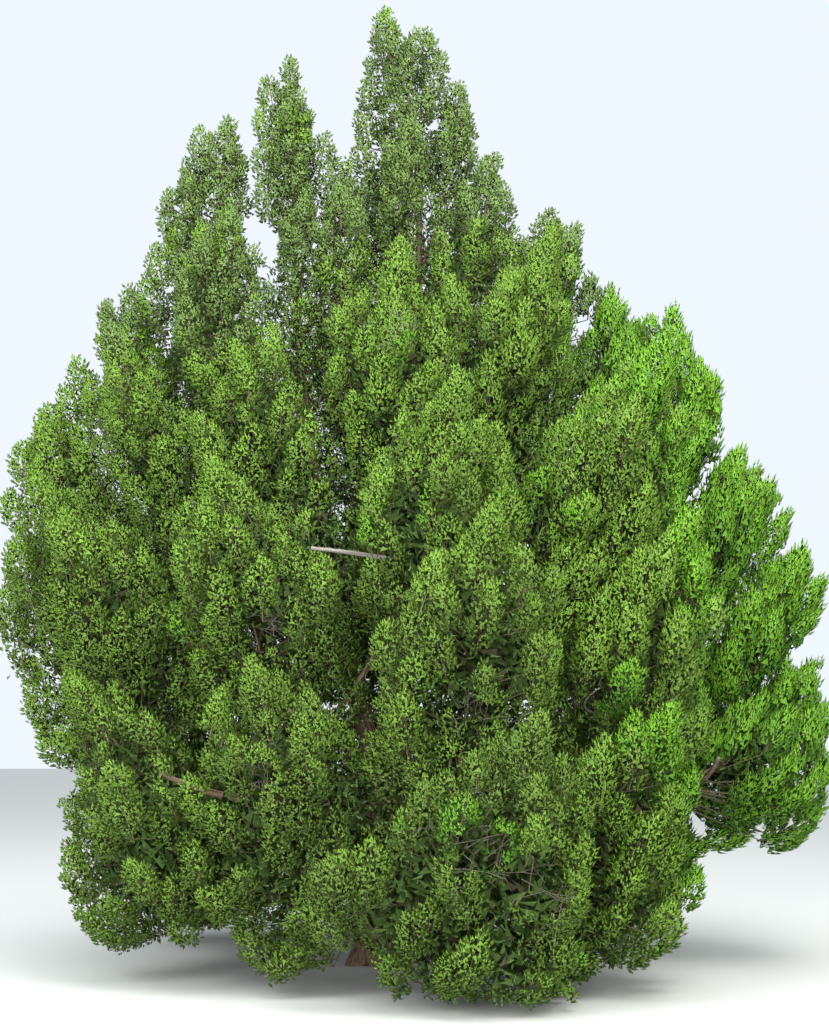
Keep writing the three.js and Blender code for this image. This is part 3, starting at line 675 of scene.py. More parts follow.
def grow_boughlets(sizes, plumes, solids, room, rng):
    """Boughlets, each a small flame by its mass, its share of the way up, its foot, its aim, its length
    and its girth. One stands on top of each mass. More lie on its surface like shingles, round its stem
    by the golden angle: their aim is the way up the surface plus 0.4 UP, the way out and chance, and they
    sink in by a share of their girth. Those that would be shut in between masses aren't grown. Then come
    the sprigs, by their tips, and the bridges, evenly along each run with chance round it, each of them
    on the nearest mass."""
    rows = []
    for number, plume in enumerate(plumes):
        corners = [Vector(c) for c in solids["foliage_" + plume["name"]].reshape(-1, 3)]
        tree = BVHTree.FromPolygons(corners, [(i, i + 1, i + 2) for i in range(0, len(corners), 3)])
        axis = plume["tip"] - plume["foot"]
        fit = (plume["girth"] / COMMON_GIRTH) ** GIRTH_POWER
        end = surface_from_outside(tree, plume["foot"] + 0.5 * axis, plume["direction"], 2.0)
        if end is not None:
            length = TOP_LENGTH * sizes.boughlet_length * fit
            foot = end - (length + TOP_DEPTH) * plume["direction"]
            rows.append((number, 1.0, *foot, *plume["direction"], length, TOP_GIRTH * length))
        around = math.pi * plume["girth"] * (1 + plume["width"]) * plume["length"] * FLAME_SURFACE
        count = int(sizes.boughlets * around / fit ** 2)
        for k in range(count):
            share = 0.02 + 0.9 * ((k + rng.random()) / count) ** 1.1
            ray = spoke(plume, k * GOLDEN_ANGLE + 0.6 * rng.random())
            wide = np.linalg.norm(ray)
            ray = ray / wide
            place = surface_from_outside(tree, plume["foot"] + axis * (0.03 + 0.9 * share), ray, 1.8)
            if place is None or room.depth_at((place + 0.1 * ray)[None])[0] >= 2:
                continue
            rise = flame_radius(plume["flame"], share + 0.06) - flame_radius(plume["flame"], share - 0.06)
            slope = rise * plume["girth"] * wide / (0.12 * plume["length"])
            along = unit(plume["direction"] + slope * ray)
            aim = unit(along + 0.4 * UP + (0.3 + 0.6 * rng.random()) * ray + 0.17 * rng.normal(size=3))
            length = sizes.boughlet_length * (0.65 + 0.7 * rng.random()) * fit * mix(1.15, 0.75, share)
            girth = sizes.boughlet_girth * length * (0.85 + 0.4 * rng.random())
            middle = place - (0.1 + 1.3 * rng.random()) * girth * ray
            rows.append((number, share, *(middle - 0.35 * length * aim), *aim, length, girth))
    hearts = np.array([mix(p["foot"], p["tip"], 0.5) for p in plumes])
    for x, y, z, lean in SPRIGS:
        tip = np.array([x, y, z])
        number = int(np.argmin(np.linalg.norm(hearts - tip, axis=1)))
        aim = np.array([math.sin(math.radians(lean)), 0, math.cos(math.radians(lean))])
        length = sizes.boughlet_length * (0.9 + 0.3 * rng.random())
        rows.append((number, 0.5, *(tip - length * aim), *aim, length, sizes.boughlet_girth * length))
    for first, last, stray, count in BRIDGES:
        for k in range(count):
            middle = mix(np.array(first), np.array(last), (k + 0.5) / count)
            middle = middle + stray * rng.normal(size=3) * (1, 0.5, 0.3)
            number = int(np.argmin(np.linalg.norm(hearts - middle, axis=1)))
            aim = unit(UP + 0.5 * unit(middle * (1, 1, 0)) + 0.25 * rng.normal(size=3))
            length = sizes.boughlet_length * (0.9 + 0.4 * rng.random())
            girth = 1.1 * sizes.boughlet_girth * length
            rows.append((number, 0.5, *(middle - 0.5 * length * aim), *aim, length, girth))
    table = np.array(rows)
    number, share = table[:, 0].astype(int), table[:, 1]
    slim = np.array([GREEN_SHARE.get(p["name"].rsplit("_", 1)[0], 0) > 0.5 for p in plumes])
    return {"plume": number, "share": share, "slim": slim[number] | (share > 0.8), "foot": table[:, 2:5],
            "aim": table[:, 5:8], "length": table[:, 8], "girth": table[:, 9]}


def boughlet_radius(b, index, share):
    """The radius of boughlets at shares of their length: that of a head, or of a slim flame on the sunny
    side and near the top of a mass."""
    outline = np.where(b["slim"][index], flame_radius(SLIM_FLAME, share), flame_radius(HEAD_FLAME, share))
    return outline * b["girth"][index]


def inside_others(points, owners, b, margin):
    """Whether each point is inside a boughlet other than its own, by more than a margin. The points are
    taken by the block, against the boughlets that stand near."""
    buried = np.zeros(len(points), bool)
    for first in range(0, len(points), 1000):
        block = slice(first, first + 1000)
        p = points[block]
        near = np.nonzero(((b["foot"] > p.min(0) - 0.8) & (b["foot"] < p.max(0) + 0.8)).all(1))[0]
        feet, aims = b["foot"][near], b["aim"][near]
        along = p @ aims.T - (feet * aims).sum(1)
        square = (p ** 2).sum(1)[:, None] - 2 * p @ feet.T + (feet ** 2).sum(1)
        off = np.sqrt(np.maximum(square - along ** 2, 0))
        wall = boughlet_radius(b, near, along / b["length"][near]) - margin
        inside = (along > 0) & (along < b["length"][near]) & (off < wall)
        inside &= near != owners[block][:, None]
        buried[block] = inside.any(1)
    return buried


def grow_tufts(sizes, b, room, rng):
    """Tufts stand over each boughlet's flame: the k-th is turned by k golden angles, at the share of the
    length where the flame's area below it is k over the count. Those inside other boughlets, deep in the
    masses, too low, where foliage keeps clear, or that see too little of the sky aren't grown."""
    fine = np.linspace(0, 1, 101)
    weight = np.maximum(flame_radius(HEAD_FLAME, fine), 0.12)
    area = np.concatenate([[0], np.cumsum((weight[1:] + weight[:-1]) / 2)])
    area /= area[-1]
    surface = 2 * math.pi * b["girth"] * b["length"] * FLAME_SURFACE
    counts = np.maximum((surface / sizes.tuft_spacing ** 2).astype(int), 6)
    owner, k = deal_out(counts)
    share = np.interp((k + 0.35 + 0.5 * rng.random(len(k))) / counts[owner], area, fine)
    share = np.clip(share, 0.06, 0.97)
    angle = k * GOLDEN_ANGLE + owner + 0.4 * rng.random(len(k))
    aim = b["aim"][owner]
    side, other = cross_axes(aim)
    ray = turned(other, side, angle)
    slope = (boughlet_radius(b, owner, share + 0.03) - boughlet_radius(b, owner, share - 0.03)) / 0.06
    slope = (slope / b["length"][owner])[:, None]
    normal = unit(ray - aim * slope)
    out = boughlet_radius(b, owner, share) * (0.88 + 0.24 * rng.random(len(k)))
    axis_point = b["foot"][owner] + aim * (share * b["length"][owner])[:, None]
    place = axis_point + ray * out[:, None]
    keep = ~inside_others(place, owner, b, 0.01)
    keep &= room.depth_at(place) <= 5
    keep &= (place[:, 2] > LOWEST_FOLIAGE) & ~left_bare(place)
    open_to = np.zeros(len(place))
    room.mark_boughlets(b)
    open_to[keep] = room.openness(place[keep] + 0.07 * normal[keep], room.shut)
    keep &= open_to > LEAST_OPEN
    tufts = {"owner": owner, "share": share, "place": place, "normal": normal, "open": open_to,
             "axis_point": b["foot"][owner] + aim * ((share - 0.12) * b["length"][owner])[:, None]}
    return {key: value[keep] for key, value in tufts.items()}


def smooth_noise(points, size, rng):
    """Slow noise from -1 to 1: the mean of six waves with random headings, each about size long."""
    total = np.zeros(len(points))
    for _ in range(6):
        heading = unit(rng.normal(size=3))
        pace = 2 * math.pi / (size * (0.7 + 0.6 * rng.random()))
        total += np.sin(points @ heading * pace + 6.3 * rng.random())
    return total / 6 * 1.6


# A scaly shoot: leaves that overlap round its axis, wider than a real one so that the count suffices. All
# in shares of its length, but for the angle: a leaf's length and half the angle of its root, the shoot's
# radius, and how far leaf tips stand off. Then how much a leaf's own roundness counts in its shading.
SHOOT_LEAVES = 4
LEAF_LENGTH = 0.55
LEAF_HALF_ANGLE = 1.0
SHOOT_RADIUS = 0.28
LEAF_SPREAD = 0.05
LEAF_ROUNDNESS = 0.14

# The radius of a tuft's dome, and how low a shoot may reach.
TUFT_RADIUS = 0.031
LOWEST_SHOOT = 0.03


def shoot_template():
    """The corners of one shoot's leaves and the way out at each: x runs along the shoot, y and z across
    it. Leaf k is turned by k golden angles. Its two root corners lie on the shoot's own outline, whose
    radius is R times 1.25 (1 - x) ** 0.7 held under R, and its tip stands off it."""
    k = np.arange(SHOOT_LEAVES)
    root = 0.02 + 0.45 * k / (SHOOT_LEAVES - 1)
    tip = root + LEAF_LENGTH
    outline = SHOOT_RADIUS * np.minimum(1.25 * np.maximum(1 - np.stack([root, tip]), 0.0) ** 0.7, 1)
    angles = np.stack([k * GOLDEN_ANGLE + turn for turn in (-LEAF_HALF_ANGLE, LEAF_HALF_ANGLE, 0)], axis=1)
    radii = np.stack([outline[0], outline[0], outline[1] + LEAF_SPREAD], axis=1)
    along = np.stack([root, root, tip], axis=1)
    places = np.stack([along, radii * np.cos(angles), radii * np.sin(angles)], axis=-1)
    outward = np.stack([0 * angles, np.cos(angles), np.sin(angles)], axis=-1)
    return places.reshape(-1, 3), outward.reshape(-1, 3)


def place_shoots(root, way, roll, length, width, shape):
    """Copies of the scaly shoot: root plus x along way, and y and z across it. Each corner's normal is
    its way out of the shoot plus the shape of what the shoot stands on, held to its own side of the
    leaf."""
    points, outward = shoot_template()
    side, other = cross_axes(way)
    across = turned(side, other, roll)
    out = np.cross(way, across)
    axes = np.stack([way, across, out], axis=1)
    sized = points[None] * np.stack([length, width, width], axis=1)[:, None]
    places = root[:, None] + sized @ axes
    normals = LEAF_ROUNDNESS * (outward @ axes) + shape[:, None]
    leaves = places.reshape(-1, 3, 3)
    faced = unit(np.cross(leaves[:, 1] - leaves[:, 0], leaves[:, 2] - leaves[:, 0]))
    normals = unit(normals).reshape(-1, 3, 3)
    towards = (normals * faced[:, None]).sum(-1, keepdims=True)
    normals = normals + faced[:, None] * np.maximum(0.15 - towards, 0)
    faces = np.arange(len(leaves) * 3).reshape(-1, 3)
    return places.reshape(-1, 3), faces, unit(normals).reshape(-1, 3)


TWIG_CORNERS = 6
TWIG_TAPER = 0.45
LOWEST_TWIG = 0.004


def place_twigs(runs):
    """Three-sided twigs, in runs by their starts, their ends and one radius: the corners of a triangle
    round each start, carried to the end and drawn in by the taper."""
    start, end = (np.concatenate([r[k] for r in runs]) for k in (0, 1))
    radius = np.concatenate([np.full(len(r[0]), r[2]) for r in runs])
    way = unit(end - start)
    side, other = cross_axes(way)
    angles = np.arange(3) * 2 * math.pi / 3
    ring = turned(side[:, None], other[:, None], angles)
    low = start[:, None] + ring * radius[:, None, None]
    high = end[:, None] + ring * radius[:, None, None] * TWIG_TAPER
    places = np.concatenate([low, high], axis=1).reshape(-1, 3)
    faces = np.array([(0, 1, 4), (0, 4, 3), (1, 2, 5), (1, 5, 4), (2, 0, 3), (2, 3, 5)])
    offsets = np.arange(len(start))[:, None, None] * TWIG_CORNERS
    return places, (faces[None] + offsets).reshape(-1, 3)


# Pieces

def make_piece(name, places, faces, materials, slot, nodes, material_index=None, normals=None,
               place_on_limb=None):
    """A mesh object from arrays of vertices and triangles, with its materials, riding on the root body.
    Where given, normals and place_on_limb are those of its vertices."""
    mesh = bpy.data.meshes.new(name)
    mesh.vertices.add(len(places))
    mesh.vertices.foreach_set("co", np.ascontiguousarray(places, np.float32).ravel())
    mesh.loops.add(faces.size)
    mesh.loops.foreach_set("vertex_index", np.ascontiguousarray(faces, np.int32).ravel())
    mesh.polygons.add(len(faces))
    mesh.polygons.foreach_set("loop_start", np.arange(0, faces.size, 3, dtype=np.int32))
    for material in materials:
        mesh.materials.append(material)
    if material_index is not None:
        mesh.polygons.foreach_set("material_index", np.ascontiguousarray(material_index, np.int32))
    mesh.polygons.foreach_set("use_smooth", np.full(len(faces), True))
    if place_on_limb is not None:
        kept = mesh.attributes.new("limb_place", "FLOAT_VECTOR", "POINT")
        kept.data.foreach_set("vector", np.ascontiguousarray(place_on_limb, np.float32).ravel())
    mesh.update(calc_edges=True)
    mesh.validate()
    if normals is not None:
        mesh.normals_split_custom_set_from_vertices(normals)
    piece = bpy.data.objects.new(name, mesh)
    bpy.context.scene.collection.objects.link(piece)
    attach(piece, "root")
    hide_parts(*nodes)


def add_node(tree, kind, settings=None, values=None, links=None):
    """One node: its settings by name, the values of its inputs, and the outputs that its inputs are
    linked to."""
    node = tree.nodes.new(kind)
    for name, value in (settings or {}).items():
        setattr(node, name, value)
    for name, value in (values or {}).items():
        node.inputs[name].default_value = value
    for name, output in (links or {}).items():
        tree.links.new(output, node.inputs[name])
    return node


def new_material(name):
    material = bpy.data.materials.new(name)
    material.use_nodes = True
    material.node_tree.nodes.clear()
    return material, material.node_tree


def leaf_material(name, colour, roughness):
    """Cypress scale leaf: a waxy skin over green tissue, so it is a little glossy and never clear. Its
    colour is dealt out by leaf, so it is plain here."""
    material, tree = new_material(name)
    shader = add_node(tree, "ShaderNodeBsdfPrincipled", values={
        "Base Color": (*colour, 1), "Roughness": roughness, "IOR": 1.42, "Specular IOR Level": 0.3})
    add_node(tree, "ShaderNodeOutputMaterial", links={"Surface": shader.outputs["BSDF"]})
    material.diffuse_color = (*colour, 1)
    return material


STRIP_WIDTH = 0.022
FIBRE_WIDTH = 0.004
ALONG_LIMB = 0.09


def bark_material(name, ridge, furrow):
    """Cypress bark: thin fibrous strips that peel lengthwise, weathered grey on top and red-brown
    between, so it is rough all over. The pattern reads the limb's own straightened place, so it follows
    every bend."""
    material, tree = new_material(name)
    place = add_node(tree, "ShaderNodeAttribute", {"attribute_name": "limb_place"}).outputs["Vector"]
    drawn = add_node(tree, "ShaderNodeMapping", values={"Scale": (1, 1, ALONG_LIMB)}, links={"Vector": place})
    strips = add_node(tree, "ShaderNodeTexNoise", values={
        "Scale": 1 / STRIP_WIDTH, "Detail": 4, "Roughness": 0.6, "Distortion": 0.6},
        links={"Vector": drawn.outputs["Vector"]})
    fibres = add_node(tree, "ShaderNodeTexNoise", values={
        "Scale": 1 / FIBRE_WIDTH, "Detail": 2, "Roughness": 0.5}, links={"Vector": drawn.outputs["Vector"]})
    height = add_node(tree, "ShaderNodeMath", {"operation": "MULTIPLY_ADD"}, {1: 0.3}, {
        0: fibres.outputs["Fac"], 2: strips.outputs["Fac"]})
    ramp = add_node(tree, "ShaderNodeValToRGB", links={"Fac": height.outputs["Value"]})
    ramp.color_ramp.elements[0].position = 0.5
    ramp.color_ramp.elements[0].color = (*furrow, 1)
    ramp.color_ramp.elements[1].position = 0.78
    ramp.color_ramp.elements[1].color = (*ridge, 1)
    rough = add_node(tree, "ShaderNodeMapRange", values={"To Min": 0.95, "To Max": 0.8}, links={
        "Value": height.outputs["Value"]})
    bump = add_node(tree, "ShaderNodeBump", values={"Strength": 0.7, "Distance": 0.004}, links={
        "Height": height.outputs["Value"]})
    shader = add_node(tree, "ShaderNodeBsdfPrincipled", values={"IOR": 1.45, "Specular IOR Level": 0.25},
                      links={"Base Color": ramp.outputs["Color"], "Roughness": rough.outputs["Result"],
                             "Normal": bump.outputs["Normal"]})
    add_node(tree, "ShaderNodeOutputMaterial", links={"Surface": shader.outputs["BSDF"]})
    return material


# The spacing of the broad strips of bark in relief, and the limb radius from which they are full deep.
BARK_STRIP = 0.05
FULL_RELIEF_RADIUS = 0.08


def bark_relief(angle, run, radius, depth, phase):
    """How far the bark stands in: strips that wind slowly round the limb, each a rounded ridge, in two
    sizes; depth times one minus the absolute sine of the turn, squared for the broad ones, whose phase
    wanders with the run."""
    strips = np.maximum(np.round(2 * math.pi * radius / BARK_STRIP), 3)
    wander = 0.9 * np.sin(run * 5.1 + phase) + 0.5 * np.sin(run * 12.7 + 2 * phase)
    broad = np.abs(np.sin(0.5 * strips * angle + 1.3 * run + wander))
    narrow = np.abs(np.sin(1.5 * strips * angle - 2.1 * run + 2 * wander))
    return -depth * (0.7 * (1 - broad) ** 2 + 0.3 * (1 - narrow))


def tube(centres, headings, first_side, radii, sides, depth, phase):
    """A limb with its bark: at each point of a path, a ring of its radius plus the bark's relief, in the
    plane square to the path. Both ends are closed by a fan to the middle of their ring. The last array is
    where each vertex would be on a straight limb, for the bark's pattern."""
    angle = np.arange(sides) * 2 * math.pi / sides
    other = np.cross(headings, first_side)
    side = np.cross(other, headings)
    run = np.concatenate([[0], np.cumsum(np.linalg.norm(np.diff(centres, axis=0), axis=1))])
    grid_angle, grid_run = np.meshgrid(angle, run)
    radius = radii if radii.ndim == 2 else np.repeat(radii[:, None], sides, axis=1)
    relief_depth = depth * np.minimum(radius / FULL_RELIEF_RADIUS, 1)
    radius = radius + bark_relief(grid_angle, grid_run, float(np.mean(radius)), relief_depth, phase)
    places = (centres[:, None] + np.cos(grid_angle)[..., None] * radius[..., None] * side[:, None]
              + np.sin(grid_angle)[..., None] * radius[..., None] * other[:, None])
    straight = np.stack([np.cos(grid_angle) * radius, np.sin(grid_angle) * radius, grid_run + phase], axis=-1)
    rings = len(centres)
    a = (np.arange(rings - 1)[:, None] * sides + np.arange(sides)).ravel()
    b = (np.arange(rings - 1)[:, None] * sides + (np.arange(sides) + 1) % sides).ravel()
    walls = np.concatenate([np.stack([a, b, b + sides], 1), np.stack([a, b + sides, a + sides], 1)])
    around = np.arange(sides)
    following = (around + 1) % sides
    foot, head = rings * sides, rings * sides + 1
    top = (rings - 1) * sides
    caps = np.concatenate([
        np.stack([following, around, np.full(sides, foot)], 1),
        np.stack([top + around, top + following, np.full(sides, head)], 1)])
    places = np.concatenate([places.reshape(-1, 3), centres[:1], centres[-1:]])
    ends = np.array([[0, 0, run[0] + phase], [0, 0, run[-1] + phase]])
    straight = np.concatenate([straight.reshape(-1, 3), ends])
    return places, np.concatenate([walls, caps]), straight


def limb_tube(limb, rings, sides, depth, phase):
    """A limb's tube along its curve, from one radius to the other with the taper's power of the way."""
    t = np.linspace(0, 1, rings)
    curve = limb["curve"]
    first, middle, last = curve.points
    plane = np.cross(middle - first, last - first)
    if np.linalg.norm(plane) < 1e-6:
        plane = np.cross(last - first, np.array([0.3, 0.1, 1.0]))
    radii = mix(limb["radius"], limb["end_radius"], t ** LIMB_TAPER)
    return tube(curve.at(t), curve.heading(t), unit(plane), radii, sides, depth, phase)


def trunk_tube(depth):
    """The trunk as in the source: rings closer near the foot, and a flare that fades with height and
    swells over each buttress."""
    sides, rings = 96, 56
    share = np.linspace(0, 1, rings)
    z = TRUNK["height"] * share ** 1.4
    centres = np.stack([np.zeros(rings), np.zeros(rings), z], axis=1)
    angle = np.arange(sides) * 2 * math.pi / sides
    fade = np.exp(-z / ROOT_FLARE["height"])[:, None]
    buttress = 0.62 + 0.38 * np.cos(ROOT_FLARE["buttresses"] * angle)[None]
    core = mix(TRUNK["foot_radius"], TRUNK["fork_radius"], np.sqrt(z / TRUNK["height"]))[:, None]
    radii = core + ROOT_FLARE["reach"] * fade * buttress
    headings = np.repeat(UP[None], rings, axis=0)
    return tube(centres, headings, np.array([1.0, 0, 0]), radii, sides, depth, 0.4)


growth = {}


def grown():
    """The layout of the whole tree, worked out once: plumes, limbs, stems, the room, boughlets and
    tufts."""
    if not growth:
        sizes = bpy.context.scene.cypress_sizes
        rng = np.random.default_rng(sizes.seed)
        plumes = lay_out_plumes()
        limbs = grow_limbs(plumes)
        solids = {n: node_triangles(n) for n in frame["nodes"] if n.startswith("foliage_")}
        room = Room(list(solids.values()))
        boughlets = grow_boughlets(sizes, plumes, solids, room, rng)
        tufts = grow_tufts(sizes, boughlets, room, rng)
        stems = [grow_stem(p, limbs) for p in plumes]
        growth.update(plumes=plumes, limbs=limbs, stems=stems, room=room, boughlets=boughlets, tufts=tufts,
                      bare=grow_bare_branches(limbs, stems), masses=sorted(solids))
    return growth


class CYPRESS_OT_bark(bpy.types.Operator):
    """Cover the trunk, the leaders and the boughs with bark in relief, and grow the stems and the bare
    wood"""

    bl_idname = "cypress.bark"
    bl_label = "Trunk and limbs"

    def execute(self, context):
        sizes, colours = context.scene.cypress_sizes, context.scene.cypress_colours
        g = grown()
        bark = bark_material("fibrous_cypress_bark", colours.bark_ridge, colours.bark_furrow)
        dead = bark_material("weathered_dead_wood", colours.dead_ridge, colours.dead_furrow)
        depth = sizes.bark_depth
        self.join("bark_trunk", bark, ["trunk"], [trunk_tube(depth)])
        for kind, rings, sides in (("leader", 90, 28), ("bough", 44, 18)):
            limbs = [l for l in g["limbs"].values() if l["name"].endswith(kind)]
            self.join(f"bark_{kind}s", bark, [l["name"] for l in limbs],
                      [limb_tube(l, rings, sides, depth, 1.7 * k) for k, l in enumerate(limbs)])
        self.join("bark_stems", bark, g["masses"],
                  [limb_tube(s, 14, 8, 0.3 * depth, 0.9 * k) for k, s in enumerate(g["stems"])])
        for name, material, is_dead in (("bare_boughs", bark, False), ("dead_boughs", dead, True)):
            branches = [(k, l) for k, l in enumerate(g["bare"]) if l["dead"] == is_dead]
            self.join(name, material, g["masses"],
                      [limb_tube(l, 24, 12, 0.4 * depth, 2.3 * k) for k, l in branches])
        return {"FINISHED"}

    def join(self, name, material, nodes, tubes):
        """One piece of several tubes, each by its vertices, faces and places on a straight limb."""
        counts = [len(t[0]) for t in tubes]
        places, straight = (np.concatenate([t[k] for t in tubes]) for k in (0, 2))
        faces = np.concatenate([t[1] + offset for t, offset in zip(tubes, np.cumsum([0] + counts))])
        make_piece(name, places, faces, [material], "bark", nodes, place_on_limb=straight)


class CYPRESS_OT_twigs(bpy.types.Operator):
    """Grow the boughlets' twigs, one to every third tuft in the light, and dead ones in the hollows"""

    bl_idname = "cypress.twigs"
    bl_label = "Twigs"

    def execute(self, context):
        colours = context.scene.cypress_colours
        g = grown()
        b, tufts = g["boughlets"], g["tufts"]
        twig = leaf_material("thin_brown_twig", colours.twig, 0.85)
        foot, tip = b["foot"], b["foot"] + b["aim"] * b["length"][:, None]
        half = mix(foot, tip, 0.5)
        seen = np.nonzero(tufts["open"] > 0.3)[0][::3]
        runs = [(self.places_on_stems(g["stems"], b), foot, 0.009), (foot, half, 0.0065), (half, tip, 0.004),
                (tufts["axis_point"][seen], tufts["place"][seen], 0.003)]
        for number, (start, end, radius) in enumerate(runs):
            lowest = place_twigs([(start, end, radius)])[0][:, 2].reshape(-1, TWIG_CORNERS).min(1)
            keep = (lowest > LOWEST_TWIG) & ~left_bare(end)
            runs[number] = (start[keep], end[keep], radius)
        make_piece("twigs", *place_twigs(runs), [twig], "bark", g["masses"])
        self.dead_twigs(context, g)
        return {"FINISHED"}

    def places_on_stems(self, stems, b):
        """Where each boughlet's twig leaves its stem: the place where run times (1 + 2 (rise / run - the
        best rise) squared) is least."""
        along = np.array([s["curve"].at(np.linspace(0.1, 0.97, 24)) for s in stems])[b["plume"]]
        way = b["foot"][:, None] - along
        run = np.maximum(np.linalg.norm(way, axis=2), 0.001)
        best = np.argmin(run * (1 + 2 * (way[..., 2] / run - BEST_RISE) ** 2), axis=1)
        return along[np.arange(len(best)), best]

    def dead_twigs(self, context, g):
        """Dead twigs across each hollow, each forked once: from a place behind its middle, they fan out
        and up within its radius."""
        rng = np.random.default_rng(context.scene.cypress_sizes.seed + 3)
        middle = np.repeat([h[0] for h in HOLLOWS], TWIGS_IN_HOLLOW, axis=0)
        radius = np.repeat([h[1] for h in HOLLOWS], TWIGS_IN_HOLLOW)[:, None]
        inward = unit(-middle * (1, 1, 0))
        start = middle + inward * radius * 1.1 + 0.5 * radius * rng.normal(size=middle.shape) * (1, 0.4, 1)
        way = unit(rng.normal(size=middle.shape) + 0.5 * UP - 0.4 * inward)
        fork = start + way * radius * (0.5 + 0.5 * rng.random((len(start), 1)))
        runs = [(start, fork, 0.0036)]
        for _ in range(2):
            bend = unit(way + 0.5 * rng.normal(size=way.shape))
            runs.append((fork, fork + bend * radius * (0.4 + 0.5 * rng.random((len(start), 1))), 0.0024))
        grey = leaf_material("dead_grey_twig", context.scene.cypress_colours.dead_furrow, 0.9)
        make_piece("dead_twigs", *place_twigs(runs), [grey], "bark", g["masses"])


HUES = ("green", "olive", "sage")
TONES = 6

# The hues' borders: from which x green gains, over what width and by how much, and the height from which sage
# takes over and the height it takes. Green gains towards the right as painted sunlight.
SUNNY_FROM = 1.6
SUNNY_WIDTH = 0.5
SUNNY_GAIN = 0.35
SAGE_FROM = 4.6
SAGE_BORDER = 0.35


def hue_of_tufts(g, rng):
    """Which hue each tuft has, how light its tone is and how feathery, both from 0 to 1. Green is dealt out
    by ridge, sage shows on the spires and olive elsewhere; at their borders they mix by slow noise and
    chance. The green hue on the sunny side is painted sunlight. A tuft's tone is the lighter the sunnier its
    ridge is, the nearer it stands to its boughlet's tip, the more sky it sees, the more it faces up and the
    higher it is, but for the spires' tips; slow noise, its boughlet's and its own chance and the named places
    add to that. The sunny ridge, the sky it sees, facing up and the named places are painted light and shade;
    nearness to the tip is partly young growth and partly painted shade at the boughlet's foot. The tone is
    then its place in the order of all tufts. On the sunny side, below the spires, tufts are feathery."""
    b, tufts = g["boughlets"], g["tufts"]
    place, owner = tufts["place"], tufts["owner"]
    x, _, z = place.T
    ridges = [p["name"].rsplit("_", 1)[0] for p in g["plumes"]]
    green = np.array([GREEN_SHARE.get(r, GREEN_ELSEWHERE) for r in ridges])[b["plume"]][owner]
    sunny = np.clip(green + SUNNY_GAIN * np.tanh(np.maximum(x - SUNNY_FROM, 0) / SUNNY_WIDTH), 0, 1)
    high = 1 / (1 + np.exp(-(z - SAGE_FROM - 0.4 * np.tanh(x)) / SAGE_BORDER))
    draw = (0.5 + 0.28 * smooth_noise(place, 1.1, rng) + 0.3 * (rng.random(len(b["length"]))[owner] - 0.5)
            + 0.15 * (rng.random(len(owner)) - 0.5))
    hue = np.full(len(owner), HUES.index("olive"))
    hue[draw < sunny * (1 - high)] = HUES.index("green")
    hue[draw < 0.8 * high] = HUES.index("sage")
    # Painted light and shade: the tone rises with the sunny ridge, the sky the tuft sees and how far it faces
    # up; the share towards the boughlet's tip is partly young growth and partly painted shade at its foot.
    youth_and_painted_light = (0.25 * sunny + 0.9 * tufts["share"] + 0.7 * tufts["open"] + 0.35 * tufts["normal"][:, 2]
             + 0.12 * np.tanh((z - 2.6) / 0.8) - 0.5 * np.clip(z - 6, 0, 1)
             + 0.1 * smooth_noise(place, 0.9, rng) + 0.13 * rng.normal(size=len(b["length"]))[owner]
             + 0.05 * rng.normal(size=len(owner)))
    # The named places add painted light and shade.
    for middle, radius, amount in PAINTED_LIGHT_AND_SHADE:
        youth_and_painted_light += amount * np.exp(-(np.linalg.norm(place - middle, axis=1) / radius) ** 2)
    order = np.argsort(np.argsort(youth_and_painted_light)) / len(youth_and_painted_light)
    return hue, order, sunny * (1 - high)


def leaf_tones(name, colours):
    """The materials of one hue, from its old colour to its young one in equal steps of linear light. Cypress
    scale leaves are darker and duller with age; the steps are also dealt out as painted light and shade, so
    the darker ones stand for shade as well as age."""
    old, young = (np.array(getattr(colours, f"{name}_{age}")) for age in ("old", "young"))
    return [leaf_material(f"cypress_leaf_{name}_{k + 1}", tuple(mix(old, young, k / (TONES - 1))), 0.6)
            for k in range(TONES)]


